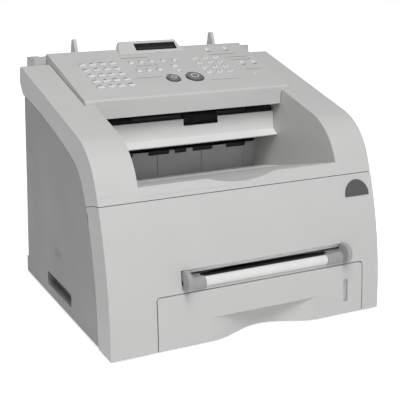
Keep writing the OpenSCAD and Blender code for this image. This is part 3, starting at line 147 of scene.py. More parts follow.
plasticLooks = {
    # casing ABS, eroded grain: dull and even
    "mouldedAbsLight": {
        "color": "#CECECD", "roughness": 0.56, "grainMm": 0.9, "grainDepthMm": 0.05, "cloudMm": 60},
    # the darker side covers and rear of the same ABS
    "mouldedAbsGrey": {
        "color": "#909091", "roughness": 0.52, "grainMm": 0.9, "grainDepthMm": 0.06, "cloudMm": 70},
    # the panel's finer grain
    "mouldedAbsPanel": {
        "color": "#CFCFCE", "roughness": 0.5, "grainMm": 0.8, "grainDepthMm": 0.03, "cloudMm": 40},
    # the print output's back wall and floor: painted shade makes the wall greyer and painted light
    # makes the floor paler than the casing ABS
    "outputWallPaintedShade": {
        "color": "#B4B4B4", "roughness": 0.6, "grainMm": 0.9, "grainDepthMm": 0.06, "cloudMm": 60},
    "outputFloorPaintedLight": {
        "color": "#F6F6F5", "roughness": 0.5, "grainMm": 0.9, "grainDepthMm": 0.05, "cloudMm": 60},
    # polished tool: smooth white keys, chute and ledge; also painted light on the feed hollow and the
    # finger dish
    "smoothAbsWhite": {
        "color": "#EAEAE9", "roughness": 0.36, "grainMm": 1.4, "grainDepthMm": 0.02, "cloudMm": 50},
    # self-lubricating acetal of the guides and the two round keys, slightly waxy
    "acetalGrey": {
        "color": "#A6A6A7", "roughness": 0.42, "grainMm": 1.1, "grainDepthMm": 0.03, "cloudMm": 30},
    "acetalDark": {
        "color": "#7A7A7C", "roughness": 0.40, "grainMm": 0.8, "grainDepthMm": 0.03, "cloudMm": 20},
    # black engine plastics with glass fibre, mottled; also painted shade in the feed slot and along
    # the seam
    "polycarbonateBlack": {
        "color": "#1B1B1C", "roughness": 0.55, "grainMm": 0.9, "grainDepthMm": 0.06,
        "cloudMm": 40, "spread": 0.12},
    # ground rubber sleeves and feet, very dull; also the dark strips of painted shade in the tray's
    # gap
    "rollerRubber": {
        "color": "#161616", "roughness": 0.78, "grainMm": 0.7, "grainDepthMm": 0.08,
        "cloudMm": 12, "spread": 0.15},
    # glass-fibre board under solder mask: green, blotchy, half gloss
    "fibreglassBoard": {
        "color": "#1D5A34", "roughness": 0.40, "grainMm": 0.8, "grainDepthMm": 0.03,
        "cloudMm": 9, "spread": 0.2},
    # acrylic over the unlit liquid-crystal cells: nearly black, glossy
    "displayAcrylic": {
        "color": "#1A1C1B", "roughness": 0.14, "grainMm": 3.0, "grainDepthMm": 0.003, "cloudMm": 30},
    # the level window's clear pane, glossy and half seen through
    "clearAcrylic": {
        "color": "#E8E9E9", "roughness": 0.12, "grainMm": 3.0, "grainDepthMm": 0.003,
        "cloudMm": 30, "alpha": 0.42},
    # organic drum coating: a blue-green film, glossy
    "drumCoating": {
        "color": "#3C6A78", "roughness": 0.14, "grainMm": 3.0, "grainDepthMm": 0.003, "cloudMm": 60},
    # screen-printed ink: matt and slightly uneven
    "printedInk": {
        "color": "#2C2D2F", "roughness": 0.6, "grainMm": 0.5, "grainDepthMm": 0.01,
        "cloudMm": 3, "spread": 0.12},
    # printed polyester film of the badge, a little glossier
    "printedFilm": {
        "color": "#5C5C5F", "roughness": 0.38, "grainMm": 0.8, "grainDepthMm": 0.02,
        "cloudMm": 5, "spread": 0.18}}
steelLook = {
    "color": "#C6C8CB", "dark": "#9A9DA1", "roughness": 0.38, "grainMm": 0.6,
    "grainDepthMm": 0.05, "stretch": (0.05, 1.0, 1.0)}
finish = {name: mouldedPlastic(name, look) for name, look in plasticLooks.items()}
finish["zincSteel"] = drawnMetal("zincSteel", steelLook)
slotFinish = {
    "shell_light": "mouldedAbsLight", "shell_grey": "mouldedAbsGrey",
    "white_plastic": "smoothAbsWhite", "guide_grey": "acetalGrey",
    "dark_plastic": "polycarbonateBlack", "steel": "zincSteel", "rubber": "rollerRubber",
    "board": "fibreglassBoard", "clear_plastic": "displayAcrylic", "drum_coating": "drumCoating"}
# Nodes whose finish differs from their slot's
ownFinish = {
    "document_feeder": "mouldedAbsLight", "document_guide_left": "mouldedAbsLight",
    "document_guide_right": "mouldedAbsLight", "panel_housing": "mouldedAbsPanel",
    "display_bezel": "mouldedAbsPanel", "level_window": "clearAcrylic", "badge": "printedFilm",
    "start_key": "acetalDark", "stop_key": "acetalDark"}
print("materials made,", len(finish))


def finishOf(node):
    return ownFinish.get(node, slotFinish[slotOf[node]])


def linkMesh(name, mesh):
    piece = bpy.data.objects.new(name, mesh)
    bpy.context.scene.collection.objects.link(piece)
    return piece


def smoothMesh(mesh, degrees):
    mesh.polygons.foreach_set("use_smooth", [True] * len(mesh.polygons))
    mesh.set_sharp_from_angle(angle=math.radians(degrees))


merge = {"weld": 2e-6, "sliver": 1e-6, "flatDegrees": 0.2}


# Copy of a CAD node's mesh with its triangles merged into whole faces, and a bevel weight
# on every edge sharper than the given angle
def mergedCopy(node, degrees, weightOf, moveOf):
    mesh = nodes[node].data.copy()
    work = bmesh.new()
    work.from_mesh(mesh)
    bmesh.ops.remove_doubles(work, verts=work.verts, dist=merge["weld"])
    bmesh.ops.dissolve_degenerate(work, edges=work.edges, dist=merge["sliver"])
    bmesh.ops.dissolve_limit(work, angle_limit=math.radians(merge["flatDegrees"]),
                             verts=work.verts, edges=work.edges)
    for vert in work.verts:
        vert.co = moveOf(vert.co / mm) * mm
    weights = work.edges.layers.float.new("bevel_weight_edge")
    for edge in work.edges:
        if len(edge.link_faces) == 2 and edge.calc_face_angle(0) > math.radians(degrees):
            edge[weights] = weightOf(edge.verts[0].co / mm, edge.verts[1].co / mm)
    work.to_mesh(mesh)
    work.free()
    return mesh


def applyModifiers(piece):
    bpy.context.view_layer.update()
    evaluated = piece.evaluated_get(bpy.context.evaluated_depsgraph_get())
    mesh = bpy.data.meshes.new_from_object(evaluated)
    piece.modifiers.clear()
    old = piece.data
    piece.data = mesh
    bpy.data.meshes.remove(old)
    return piece


def mount(piece, body, slot, *replaced):
    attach(piece, body)
    if replaced:
        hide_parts(*replaced)
    return piece


# A node's mesh with rounded edges. A look may weigh the edges, move points and paint faces:
# paint lists (finish, test), and a test gets a face's centre in mm and its normal.
def softened(node, look):
    sharp = look.get("degrees", 32)
    mesh = mergedCopy(node, sharp, look.get("weight", lambda p, q: 1.0),
                      look.get("move", lambda p: p))
    piece = linkMesh(node + ".skin", mesh)
    mesh.materials.clear()
    mesh.materials.append(finish[finishOf(node)])
    edge = piece.modifiers.new("edge", "BEVEL")
    edge.width = look["width"] * mm
    edge.segments = look.get("segments", 2)
    edge.limit_method = "WEIGHT"
    edge.use_clamp_overlap = True
    applyModifiers(piece)
    for name, test in look.get("paint", []):
        piece.data.materials.append(finish[name])
        index = len(piece.data.materials) - 1
        for face in piece.data.polygons:
            if test(face.center / mm, face.normal):
                face.material_index = index
    smoothMesh(piece.data, sharp)
    flatten = piece.modifiers.new("flatten", "WEIGHTED_NORMAL")
    flatten.keep_sharp = True
    applyModifiers(piece)
    return mount(piece, bodyOf[node], slotOf[node], node)


frontFace = {"radius": 545.0, "y": 365.168, "z": -16.02}


# The bowed front face at a height, in mm
def faceY(z, depth=0.0):
    reach = frontFace["radius"] - depth
    return frontFace["y"] - math.sqrt(reach ** 2 - (z - frontFace["z"]) ** 2)


manualFeed = {"middle": 22, "y": -175.5, "z": 89.5, "radius": 14.0, "halfWidth": 123, "low": 80,
              "paintedShadeTop": 94, "within": 0.4, "slotHalfWidth": 121, "slotY": (-166, -150),
              "slotZ": (88, 93.5)}


# Inside of the manual feed: painted shade, dark round the slot, and painted light, white on the hollow
# above it
def inFeedRecess(p, n):
    reach = math.hypot(p.y - manualFeed["y"], p.z - manualFeed["z"])
    across = abs(p.x - manualFeed["middle"]) < manualFeed["halfWidth"]
    onHollow = abs(reach - manualFeed["radius"]) < manualFeed["within"]
    return onHollow and p.z > manualFeed["low"] and across


# Painted shade: the slot and the hollow's low part are painted black
def feedSlotPaintedShade(p, n):
    front, rear = manualFeed["slotY"]
    low, high = manualFeed["slotZ"]
    across = abs(p.x - manualFeed["middle"]) < manualFeed["slotHalfWidth"]
    slot = front < p.y < rear and low < p.z < high and across
    return slot or (inFeedRecess(p, n) and p.z < manualFeed["paintedShadeTop"])


dish = {"x": 232.4, "y": -98.9, "z": 160.5, "radius": 36.0, "within": 0.15, "outside": 196}


# Painted light: the finger dish on each side is painted white, paler than the casing round it
def fingerDishPaintedLight(p, n):
    reach = math.dist((abs(p.x), p.y, p.z), (dish["x"], dish["y"], dish["z"]))
    return abs(reach - dish["radius"]) < dish["within"] and abs(p.x) > dish["outside"]


seam = {"y": -170.5, "z": 16.0, "height": 187.0, "gap": 0.4, "within": 0.12}
seamEnd = (faceY(seam["height"]), seam["height"])
seamRadius = math.dist((seam["y"], seam["z"]), seamEnd) - seam["gap"]


# Painted shade: the front cover's rim is painted dark, which shows as the seam's line
def seamPaintedShade(p, n):
    reach = math.hypot(p.y - seam["y"], p.z - seam["z"])
    return abs(reach - seamRadius) < seam["within"] and n.z > 0.3


# Where the print output's back wall gets painted shade and its floor painted light
outputFloor = {"y": (-2, 74), "top": 170, "halfWidth": 143.5}
outputWall = {"y": (71, 76), "top": 182.5, "halfWidth": 144}


def inOutput(p, part):
    front, rear = part["y"]
    return front < p.y < rear and p.z < part["top"] and abs(p.x) < part["halfWidth"]


def onOutputFloor(p, n):
    return inOutput(p, outputFloor) and n.z > 0.85


def onOutputWall(p, n):
    return inOutput(p, outputWall) and n.y < -0.5


panel = {"slope": 14.4, "halfWidth": 156, "rear": 156.5, "front": 6.37, "topTrim": 1.5,
         "sideRim": 1, "frontRim": 3, "openingWeight": 0.12}
panelAngle = math.radians(panel["slope"])
panelRun = panel["rear"] - panel["topTrim"] - panel["front"]
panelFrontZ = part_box("panel_housing")[1][2] / mm - panelRun * math.tan(panelAngle)
wing = {"inside": 155, "upSlope": 155, "drop": 1.3, "band": 4, "front": 156, "run": 24,
        "fall": 5.0, "step": 3.2}
wingTop = panelFrontZ + wing["upSlope"] * math.sin(panelAngle) - wing["drop"]


# The rear housing's wings fall away behind the panel's hinge
def loweredWing(p):
    if abs(p.x) > wing["inside"] and p.z > wingTop - wing["band"]:
        along = min(1, max(0, (p.y - wing["front"]) / wing["run"]))
        return Vector((p.x, p.y, wingTop - wing["fall"] * along - wing["step"]))
    return p


# The panel's rim is well rounded, its key openings only just
def panelWeight(p, q):
    side, front = panel["halfWidth"] - panel["sideRim"], panel["front"] + panel["frontRim"]
    onRim = all(abs(v.x) > side or v.y < front for v in (p, q))
    return 1.0 if onRim else panel["openingWeight"]


grille = {"y": 0.5, "z": 78, "halfWidth": 14, "halfHeight": 9, "outside": -190}


# The speaker's small holes keep their edges
def awayFromGrille(p, q):
    near = all(abs(v.y - grille["y"]) < grille["halfWidth"]
               and abs(v.z - grille["z"]) < grille["halfHeight"] and v.x < grille["outside"]
               for v in (p, q))
    return 0.0 if near else 1.0


casings = {
    # upper_cover: painted shade on the output's back wall, painted light on its floor
    "upper_cover": {"width": 0.6, "paint": [
        ("outputWallPaintedShade", onOutputWall), ("outputFloorPaintedLight", onOutputFloor)]},
    # front_cover: painted light on the feed hollow and finger dish, painted shade in the feed slot and
    # along the seam
    "front_cover": {"width": 0.4, "paint": [
        ("smoothAbsWhite", inFeedRecess), ("polycarbonateBlack", feedSlotPaintedShade),
        ("polycarbonateBlack", seamPaintedShade), ("smoothAbsWhite", fingerDishPaintedLight)]},
    "panel_housing": {"width": 2.6, "segments": 4, "weight": panelWeight},
    "left_side_cover": {"width": 0.5, "weight": awayFromGrille},
    "display_bezel": {"width": 1.4, "segments": 3},
    "tray_front": {"width": 0.4},
    "right_side_cover": {"width": 0.5},
    "rear_panel": {"width": 0.4},
    "document_feeder": {"width": 1.0, "move": loweredWing},
    "document_chute": {"width": 0.4},
    "feed_ledge": {"width": 0.4},
    "manual_guide_left": {"width": 0.25},
    "manual_guide_right": {"width": 0.25},
    "document_guide_left": {"width": 0.9, "segments": 3},
    "document_guide_right": {"width": 0.9, "segments": 3},
    "tray_bin": {"width": 0.4},
    "rear_door": {"width": 0.5},
    "one_touch_keys": {"width": 0.8, "segments": 3},
    "number_keys": {"width": 0.8, "segments": 3},
    "function_keys": {"width": 0.8, "segments": 3},
    "start_key": {"width": 1.2, "segments": 4},
    "stop_key": {"width": 1.2, "segments": 4},
    "badge": {"width": 0.25},
    "tray_guide_left": {"width": 0.3},
    "tray_guide_right": {"width": 0.3},
    "tray_end_guide": {"width": 0.4},
    "scan_base": {"width": 0.4},
    "base_pan": {"width": 0.4},
    "ac_inlet": {"width": 0.4},
    "power_switch": {"width": 0.4},
    "rear_jacks": {"width": 0.4},
    "feet": {"width": 0.8},
    "toner_cartridge": {"width": 1.0},
    "fuser_housing": {"width": 0.8},
    "laser_scanner": {"width": 0.8},
    "drive_unit": {"width": 0.8},
    "speaker": {"width": 0.4},
    "panel_base": {"width": 0.4},
    "power_supply": {"width": 0.3},
    "lift_plate": {"width": 0.3},
    "image_sensor": {"width": 0.4}}
for nodeName, look in casings.items():
    softened(nodeName, look)
print("casings made,", len(casings))

rollers = {
    "names": ("pickup_roller", "drum", "transfer_roller", "heat_roller", "pressure_roller",
              "print_exit_roller", "scan_feed_roller", "document_exit_roller"),
    "width": 0.4, "shaftRadius": 3.2}


# Centre line of a roller along X, and its radius, all in mm
def rollerLine(node):
    low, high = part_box(node)
    return (low[1] + high[1]) / 2 / mm, (low[2] + high[2]) / 2 / mm, (high[2] - low[2]) / 2 / mm


# A roller has two finishes: a ground steel shaft and its sleeves
def softenedRoller(node):
    y, z, radius = rollerLine(node)

    def onShaft(p, n):
        return math.hypot(p.y - y, p.z - z) < rollers["shaftRadius"]

    softened(node, {"width": rollers["width"], "paint": [("zincSteel", onShaft)]})


for nodeName in rollers["names"]:
    softenedRoller(nodeName)
# The nodes that have no skin show their own mesh
for nodeName, piece in nodes.items():
    piece.data.materials.clear()
    piece.data.materials.append(finish[finishOf(nodeName)])
print("rollers made,", len(rollers["names"]))


# New Geometry Nodes tree with its named inputs and the geometry that comes out
def newTree(name, inputs, output):
    tree = bpy.data.node_groups.new(name, "GeometryNodeTree")
    for label, kind in inputs.items():
        tree.interface.new_socket(label, in_out="INPUT", socket_type="NodeSocket" + kind)
    tree.interface.new_socket(output, in_out="OUTPUT", socket_type="NodeSocketGeometry")
    return tree, addNode(tree, "NodeGroupInput")


# Sets one shape on each point, makes the copies real and gives them their finish
def setOnPoints(tree, given, shape, placing, output):
    spread = addNode(tree, "GeometryNodeInstanceOnPoints", inputs={
        "Points": given.outputs["Points"], "Instance": shape, **placing})
    whole = addNode(tree, "GeometryNodeRealizeInstances", inputs={
        "Geometry": spread.outputs["Instances"]})
    dressed = addNode(tree, "GeometryNodeSetMaterial", inputs={
        "Geometry": whole.outputs["Geometry"], "Material": given.outputs["Finish"]})
    addNode(tree, "NodeGroupOutput", inputs={output: dressed.outputs["Geometry"]})
    return tree


# Small bars, each sized by its point's barSize
def barTree():
    tree, given = newTree("bars", {
        "Points": "Geometry", "Turn": "Vector", "Finish": "Material"}, "Bars")
    size = addNode(tree, "GeometryNodeInputNamedAttribute",
                   {"data_type": "FLOAT_VECTOR"}, {"Name": "barSize"})
    bar = addNode(tree, "GeometryNodeMeshCube", inputs={"Size": (1, 1, 1)})
    return setOnPoints(tree, given, bar.outputs["Mesh"], {
        "Rotation": given.outputs["Turn"], "Scale": size.outputs["Attribute"]}, "Bars")


# One object, such as a screw, on each point
def studTree():
    tree, given = newTree("studs", {
        "Points": "Geometry", "Stud": "Object", "Turn": "Vector", "Finish": "Material"}, "Studs")
    stud = addNode(tree, "GeometryNodeObjectInfo", inputs={"Object": given.outputs["Stud"]})
    return setOnPoints(tree, given, stud.outputs["Geometry"],
                       {"Rotation": given.outputs["Turn"]}, "Studs")


# Short cylinders along X
def ringTree():
    tree, given = newTree("rings", {
        "Points": "Geometry", "Radius": "Float", "Width": "Float", "Finish": "Material"}, "Rings")
    disc = addNode(tree, "GeometryNodeMeshCylinder", inputs={
        "Vertices": 32, "Radius": given.outputs["Radius"], "Depth": given.outputs["Width"]})
    return setOnPoints(tree, given, disc.outputs["Mesh"], {"Rotation": (0, math.pi / 2, 0)}, "Rings")


# A tree's shapes on points in mm, as one mesh
def grown(name, tree, points, sizes, settings):
    mesh = bpy.data.meshes.new(name)
    mesh.from_pydata([tuple(c * mm for c in p) for p in points], [], [])
    if sizes:
        sizeOf = mesh.attributes.new("barSize", "FLOAT_VECTOR", "POINT")
        sizeOf.data.foreach_set("vector", [c * mm for s in sizes for c in s])
    piece = linkMesh(name, mesh)
    modifier = piece.modifiers.new("repeat", "NODES")
    modifier.node_group = tree
    for item in tree.interface.items_tree:
        if item.in_out == "INPUT" and item.name in settings:
            modifier[item.identifier] = settings[item.name]
    piece.update_tag()
    return applyModifiers(piece)


bars = barTree()


# A point of the control panel in mm: across, up the slope from its front edge, above its face
def onPanel(x, up, above=0.0):
    return (x, panel["front"] + up * math.cos(panelAngle) - above * math.sin(panelAngle),
            panelFrontZ + up * math.sin(panelAngle) + above * math.cos(panelAngle))


def closedMesh(name, verts, faces, material):
    mesh = bpy.data.meshes.new(name)
    mesh.from_pydata([tuple(c * mm for c in v) for v in verts], [], faces)
    mesh.materials.append(finish[material])
    work = bmesh.new()
    work.from_mesh(mesh)
    bmesh.ops.recalc_face_normals(work, faces=work.faces)
    work.to_mesh(mesh)
    work.free()
    return linkMesh(name, mesh)


keys = {"inkThickness": 0.06, "capHeight": 1.8, "roundCapHeight": 2.6, "digitLift": 0.04,
        "oneTouchX": (-120, -105, -90, -75), "oneTouchUp": (35.3, 52.9, 70.6, 88.2, 105.8),
        "numberX": (56, 73, 90), "numberUp": (104.8, 89, 73, 57.5), "digitSize": 5.6,
        "digits": (("1", "4", "7", "*"), ("2", "5", "8", "0"), ("3", "6", "9", "#")),
        "functionX": (-46, -30, -14), "functionUp": (110.6, 82.6)}

oneTouchLegend = {"shift": (-0.4, 0.6), "above": 6.4, "length": 6.8, "shorter": 1.1, "width": 2.3}
numberLegend = {"above": 6.0, "length": 5.4, "width": 1.3}
functionLegend = {"length": 6.5, "width": 1.4}


# Printed legends beside the keys, in generic bars: across, up the slope, length, width
def keyLegends():
    legends = []
    for i, x in enumerate(keys["oneTouchX"]):
        for j, up in enumerate(keys["oneTouchUp"]):
            length = oneTouchLegend["length"] - oneTouchLegend["shorter"] * ((i + j) % 3)
            legends.append((x + oneTouchLegend["shift"][i % 2], up + oneTouchLegend["above"],
                            length, oneTouchLegend["width"]))
    for x in keys["numberX"]:
        for up in keys["numberUp"]:
            legends.append((x, up + numberLegend["above"], numberLegend["length"],
                            numberLegend["width"]))
    for up in keys["functionUp"]:
        for x in keys["functionX"]:
            legends.append((x, up, functionLegend["length"], functionLegend["width"]))
    return legends


singleLegends = [
    (4, 110, 5, 1.3), (22, 110, 5, 1.3), (13, 91.6, 6, 1.3), (90.8, 128.4, 7, 1.4),
    (121.6, 128.6, 7, 1.4), (123, 76.8, 8, 1.3), (142.3, 75.8, 8, 1.3), (27.2, 63, 11, 1.5),
    (-6.2, 60.5, 9, 1.5)]
# Thin rules that group the keys
ruleLines = [
    (-34, 122, 44, 0.8), (108, 116, 46, 0.8), (126, 104, 40, 0.8), (128, 94, 34, 0.7),
    (-26, 94, 34, 0.7), (-40, 56, 38, 0.7), (70, 34, 46, 0.6), (132, 60, 30, 0.7)]
legends = keyLegends() + singleLegends + ruleLines
ink = keys["inkThickness"]
marks = grown("panelLegends", bars,
              [onPanel(x, up, ink / 2) for x, up, length, width in legends],
              [(length, width, ink) for x, up, length, width in legends],
              {"Turn": (panelAngle, 0, 0), "Finish": finish["printedInk"]})
mount(marks, "control_panel", "shell_light")


# One printed character, standing just proud of a number key
def keyDigit(character, x, up):
    text = bpy.data.curves.new("digit", "FONT")
    text.body = character
    text.size = keys["digitSize"] * mm
    text.align_x, text.align_y = "CENTER", "CENTER"
    text.extrude = ink / 2 * mm
    text.resolution_u = 3
    holder = bpy.data.objects.new("digit", text)
    bpy.context.scene.collection.objects.link(holder)
    bpy.context.view_layer.update()
    evaluated = holder.evaluated_get(bpy.context.evaluated_depsgraph_get())
    mesh = bpy.data.meshes.new_from_object(evaluated)
    bpy.data.objects.remove(holder)
    place = [c * mm for c in onPanel(x, up, keys["capHeight"] + keys["digitLift"])]
    mesh.transform(Matrix.Translation(place) @ Matrix.Rotation(panelAngle, 4, "X"))
    return mesh


# The twelve number keys' characters are one mesh, which rides with the keys
work = bmesh.new()
for column, x in enumerate(keys["numberX"]):
    for row, up in enumerate(keys["numberUp"]):
        work.from_mesh(keyDigit(keys["digits"][column][row], x, up))
bmesh.ops.remove_doubles(work, verts=work.verts, dist=1e-7)
digits = bpy.data.meshes.new("keyDigits")
work.to_mesh(digits)
work.free()
digits.materials.append(finish["printedInk"])
mount(linkMesh("keyDigits", digits), "number_keys", "white_plastic")

# The two round keys: their places, and the radii of the ring round each and of its mark
roundKeys = {
    "start": {"x": 27.2, "up": 47.2, "surround": (12.3, 13.6), "mark": (4.6, 6.0)},
    "stop": {"x": -6.2, "up": 47, "surround": (9.8, 10.9), "mark": (3.2, 4.4)}}
ringPrint = {"surroundThickness": 0.3, "markThickness": 0.09, "markSunk": 0.03, "steps": 48}


def flatRing(name, key, radii, above, thickness, material):
    inner, outer = radii
    steps = ringPrint["steps"]
    verts, faces = [], []
    for k in range(steps):
        angle = 2 * math.pi * k / steps
        for r, lift in ((inner, 0), (outer, 0), (outer, thickness), (inner, thickness)):
            verts.append(onPanel(key["x"] + r * math.cos(angle), key["up"] + r * math.sin(angle),
                                 above + lift))
        n = (k + 1) % steps
        faces += [(4 * k + i, 4 * k + (i + 1) % 4, 4 * n + (i + 1) % 4, 4 * n + i) for i in range(4)]
    return closedMesh(name, verts, faces, material)


for name, key in roundKeys.items():
    surround = flatRing(name + "Surround", key, key["surround"], 0,
                        ringPrint["surroundThickness"], "printedInk")
    mount(surround, "control_panel", "shell_light")
for name, key in roundKeys.items():
    ring = flatRing(name + "Ring", key, key["mark"], keys["roundCapHeight"] - ringPrint["markSunk"],
                    ringPrint["markThickness"], "smoothAbsWhite")
    mount(ring, name + "_key", "guide_grey")
print("panel prints made,", len(legends))


def roundEdges(piece, radius, segments):
    edge = piece.modifiers.new("edge", "BEVEL")
    edge.width, edge.segments = radius * mm, segments
    return applyModifiers(piece)


# Five moulded blocks that press the prints on the exit rollers, hanging at the slot in the back
# wall: the middle of the paper path, each block's place from it, half widths and side profile
exitBlocks = {"pathX": 18, "at": (-92.5, -35, 0, 36.5, 92.5), "half": (15.7, 16, 9, 15.7, 15.7),
              "profile": ((74.4, 184), (74.4, 176.8), (72.8, 177.2), (71.0, 181.4), (71.0, 184)),
              "edge": 0.6}


def exitPressBlocks():
    verts, faces = [], []
    n = len(exitBlocks["profile"])
    for at, half in zip(exitBlocks["at"], exitBlocks["half"]):
        first = len(verts)
        for side in (-1, 1):
            verts += [(exitBlocks["pathX"] + at + side * half, y, z) for y, z in exitBlocks["profile"]]
        faces.append(tuple(first + k for k in range(n)))
        faces.append(tuple(first + n + k for k in reversed(range(n))))
        faces += [(first + k, first + n + k, first + n + (k + 1) % n, first + (k + 1) % n)
                  for k in range(n)]
    blocks = closedMesh("exitPressBlocks", verts, faces, "polycarbonateBlack")
    return roundEdges(blocks, exitBlocks["edge"], 2)


mount(exitPressBlocks(), "chassis", "dark_plastic")

# Ribs round the roller that shows in the chute's notch
ribs = {"from": -0.6, "to": 49.2, "pitch": 2.6, "height": 0.5, "width": 1.3}
ribY, ribZ, sleeveRadius = rollerLine("document_exit_roller")
ribCount = int((ribs["to"] - ribs["from"]) / ribs["pitch"]) + 1
rings = grown("chuteRollerRibs", ringTree(),
              [(ribs["from"] + ribs["pitch"] * k, ribY, ribZ) for k in range(ribCount)], None,
              {"Radius": (sleeveRadius + ribs["height"]) * mm, "Width": ribs["width"] * mm,
               "Finish": finish["rollerRubber"]})
mount(rings, "document_exit_roller", "rubber")


# A bar along the axes, given by its ends in X, Y and Z
def roundedBar(name, bar, material, body, slot, *replaced):
    verts = [(x, y, z) for x in bar["x"] for y in bar["y"] for z in bar["z"]]
    faces = [(0, 1, 3, 2), (4, 6, 7, 5), (0, 4, 5, 1), (2, 3, 7, 6), (0, 2, 6, 4), (1, 5, 7, 3)]
    piece = roundEdges(closedMesh(name, verts, faces, material), bar["edge"], 3)
    smoothMesh(piece.data, 40)
    return mount(piece, body, slot, *replaced)


# Paper level gauge: a dark flag close behind the window, in front of a pale strip
levelStrip = {"x": (139.9, 147.7), "y": (-170.1, -169.6), "z": (17.5, 53.5), "edge": 0.2}
levelFlag = {"x": (141.0, 146.6), "y": (-171.4, -170.4), "z": (40.0, 51.5), "edge": 0.5}
roundedBar("levelStrip", levelStrip, "smoothAbsWhite", "paper_tray", "white_plastic")
roundedBar("levelFlagFace", levelFlag, "polycarbonateBlack", "level_flag", "dark_plastic",
           "level_flag")


# A strip that follows the bowed face between two heights and two depths behind it
def faceStrip(name, x, z, depth, material, body, slot, steps=12):
    heights = [z[0] + (z[1] - z[0]) * k / steps for k in range(steps + 1)]
    loop = [(faceY(h, depth[0]), h) for h in heights]
    loop += [(faceY(h, depth[1]), h) for h in reversed(heights)]
    n = len(loop)
    verts = [(side, y, h) for side in x for y, h in loop]
    faces = [tuple(range(n)), tuple(reversed(range(n, 2 * n)))]
    faces += [(k, n + k, n + (k + 1) % n, (k + 1) % n) for k in range(n)]
    piece = closedMesh(name, verts, faces, material)
    smoothMesh(piece.data, 30)
    return mount(piece, body, slot)


# Painted shade: dark strips in the gap round the tray front, fixed to the cover's opening, darken the
# gap
trayGap = {"left": -135.8, "right": 171.8, "top": 72.8, "low": 5.0, "shadeStripWidth": 0.85,
           "cornerRoom": 5, "depth": (1.1, 4.5)}
gapShadeStrips = {
    "trayFeltTop": ((trayGap["left"], trayGap["right"]),
                    (trayGap["top"] - trayGap["shadeStripWidth"], trayGap["top"])),
    "trayFeltRight": ((trayGap["right"] - trayGap["shadeStripWidth"], trayGap["right"]),
                      (trayGap["low"], trayGap["top"] - trayGap["cornerRoom"])),
    "trayFeltLeft": ((trayGap["left"], trayGap["left"] + trayGap["shadeStripWidth"]),
                     (trayGap["low"], trayGap["top"] - trayGap["cornerRoom"]))}
for name, (x, z) in gapShadeStrips.items():
    faceStrip(name, x, z, trayGap["depth"], "rollerRubber", "front_cover", "rubber")

# Liquid-crystal cells behind the display's acrylic: two rows of twenty
lcd = {"cells": 20, "rows": 2, "pitch": 2.9, "rowPitch": 5.4, "size": (2.3, 4.2, 0.06),
       "paneRise": 0.855, "lift": 0.45}


def displayCells():
    low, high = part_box("display_window")
    slope = math.atan2(high[2] - low[2] - lcd["paneRise"] * mm, high[1] - low[1])
    middle = Vector([(a + b) / 2 / mm for a, b in zip(low, high)])
    upward = Vector((0, math.cos(slope), math.sin(slope)))
    outward = Vector((0, -math.sin(slope), math.cos(slope)))
    points = []
    for row in range(lcd["rows"]):
        for cell in range(lcd["cells"]):
            place = middle + upward * (row - 0.5) * lcd["rowPitch"] + outward * lcd["lift"]
            across = (cell - (lcd["cells"] - 1) / 2) * lcd["pitch"]
            points.append((place.x + across, place.y, place.z))
    return grown("displayCells", bars, points, [lcd["size"]] * len(points),
                 {"Turn": (slope, 0, 0), "Finish": finish["printedInk"]})


mount(displayCells(), "control_panel", "clear_plastic")

# Cross-recessed screws that hold the rear panel and its covers
screw = {"radius": 3.6, "dome": 1.2, "slotHalf": 0.55, "slotLong": 2.2, "slotDeep": 0.9,
         "steps": 24, "halfSpan": 164, "heights": (18, 120, 240)}


# A flattened half ball with its flat side at the origin
def screwDome():
    work = bmesh.new()
    bmesh.ops.create_uvsphere(work, u_segments=screw["steps"], v_segments=screw["steps"] // 2,
                              radius=screw["radius"] * mm)
    bmesh.ops.bisect_plane(work, geom=work.verts[:] + work.edges[:] + work.faces[:],
                           plane_co=(0, 0, 0), plane_no=(0, 0, 1), clear_inner=True)
    bmesh.ops.holes_fill(work, edges=[e for e in work.edges if e.is_boundary])
    for vert in work.verts:
        vert.co.z *= screw["dome"] / screw["radius"]
    mesh = bpy.data.meshes.new("screwHead")
    work.to_mesh(mesh)
    work.free()
    return linkMesh("screwHead", mesh)


# One bar of the cross, standing through the dome's top
def screwCutter(halfX, halfY):
    work = bmesh.new()
    bmesh.ops.create_cube(work, size=2)
    for vert in work.verts:
        vert.co = Vector((vert.co.x * halfX, vert.co.y * halfY,
                          screw["dome"] + vert.co.z * screw["slotDeep"])) * mm
    mesh = bpy.data.meshes.new("screwCut")
    work.to_mesh(mesh)
    work.free()
    return linkMesh("screwCut", mesh)


def screwHead():
    head = screwDome()
    cutters = [screwCutter(screw["slotLong"], screw["slotHalf"]),
               screwCutter(screw["slotHalf"], screw["slotLong"])]
    for cutter in cutters:
        cut = head.modifiers.new("cut", "BOOLEAN")
        cut.operation, cut.object, cut.solver = "DIFFERENCE", cutter, "EXACT"
    applyModifiers(head)
    smoothMesh(head.data, 30)
    for cutter in cutters:
        bpy.data.objects.remove(cutter)
    return head


headPiece = screwHead()
rearY = cadBox[1][1] / mm
screws = grown("rearScrews", studTree(),
               [(side * screw["halfSpan"], rearY, z) for side in (-1, 1) for z in screw["heights"]],
               None, {"Stud": headPiece, "Turn": (math.radians(90), 0, math.radians(180)),
                      "Finish": finish["zincSteel"]})
bpy.data.objects.remove(headPiece)
mount(screws, "chassis", "steel")
print("small pieces made")

studio = {"floorSize": 12.0, "floorColor": "#F2F2F2", "floorLift": 0.75,
          "worldColor": "#FFFFFF", "worldStrength": 0.2, "lampAim": (0, 0, 0.15)}
lamps = {
    "topLamp": {"place": (-0.5, -1.5, 2.6), "power": 54.0, "size": 1.4},
    "frontLamp": {"place": (0.2, -3.0, 1.2), "power": 8.0, "size": 0.8},
    "leftLamp": {"place": (-1.6, -2.4, 1.6), "power": 3.0, "size": 0.8},
    "rearLamp": {"place": (-0.2, 2.8, 1.1), "power": 12.0, "size": 1.2}}


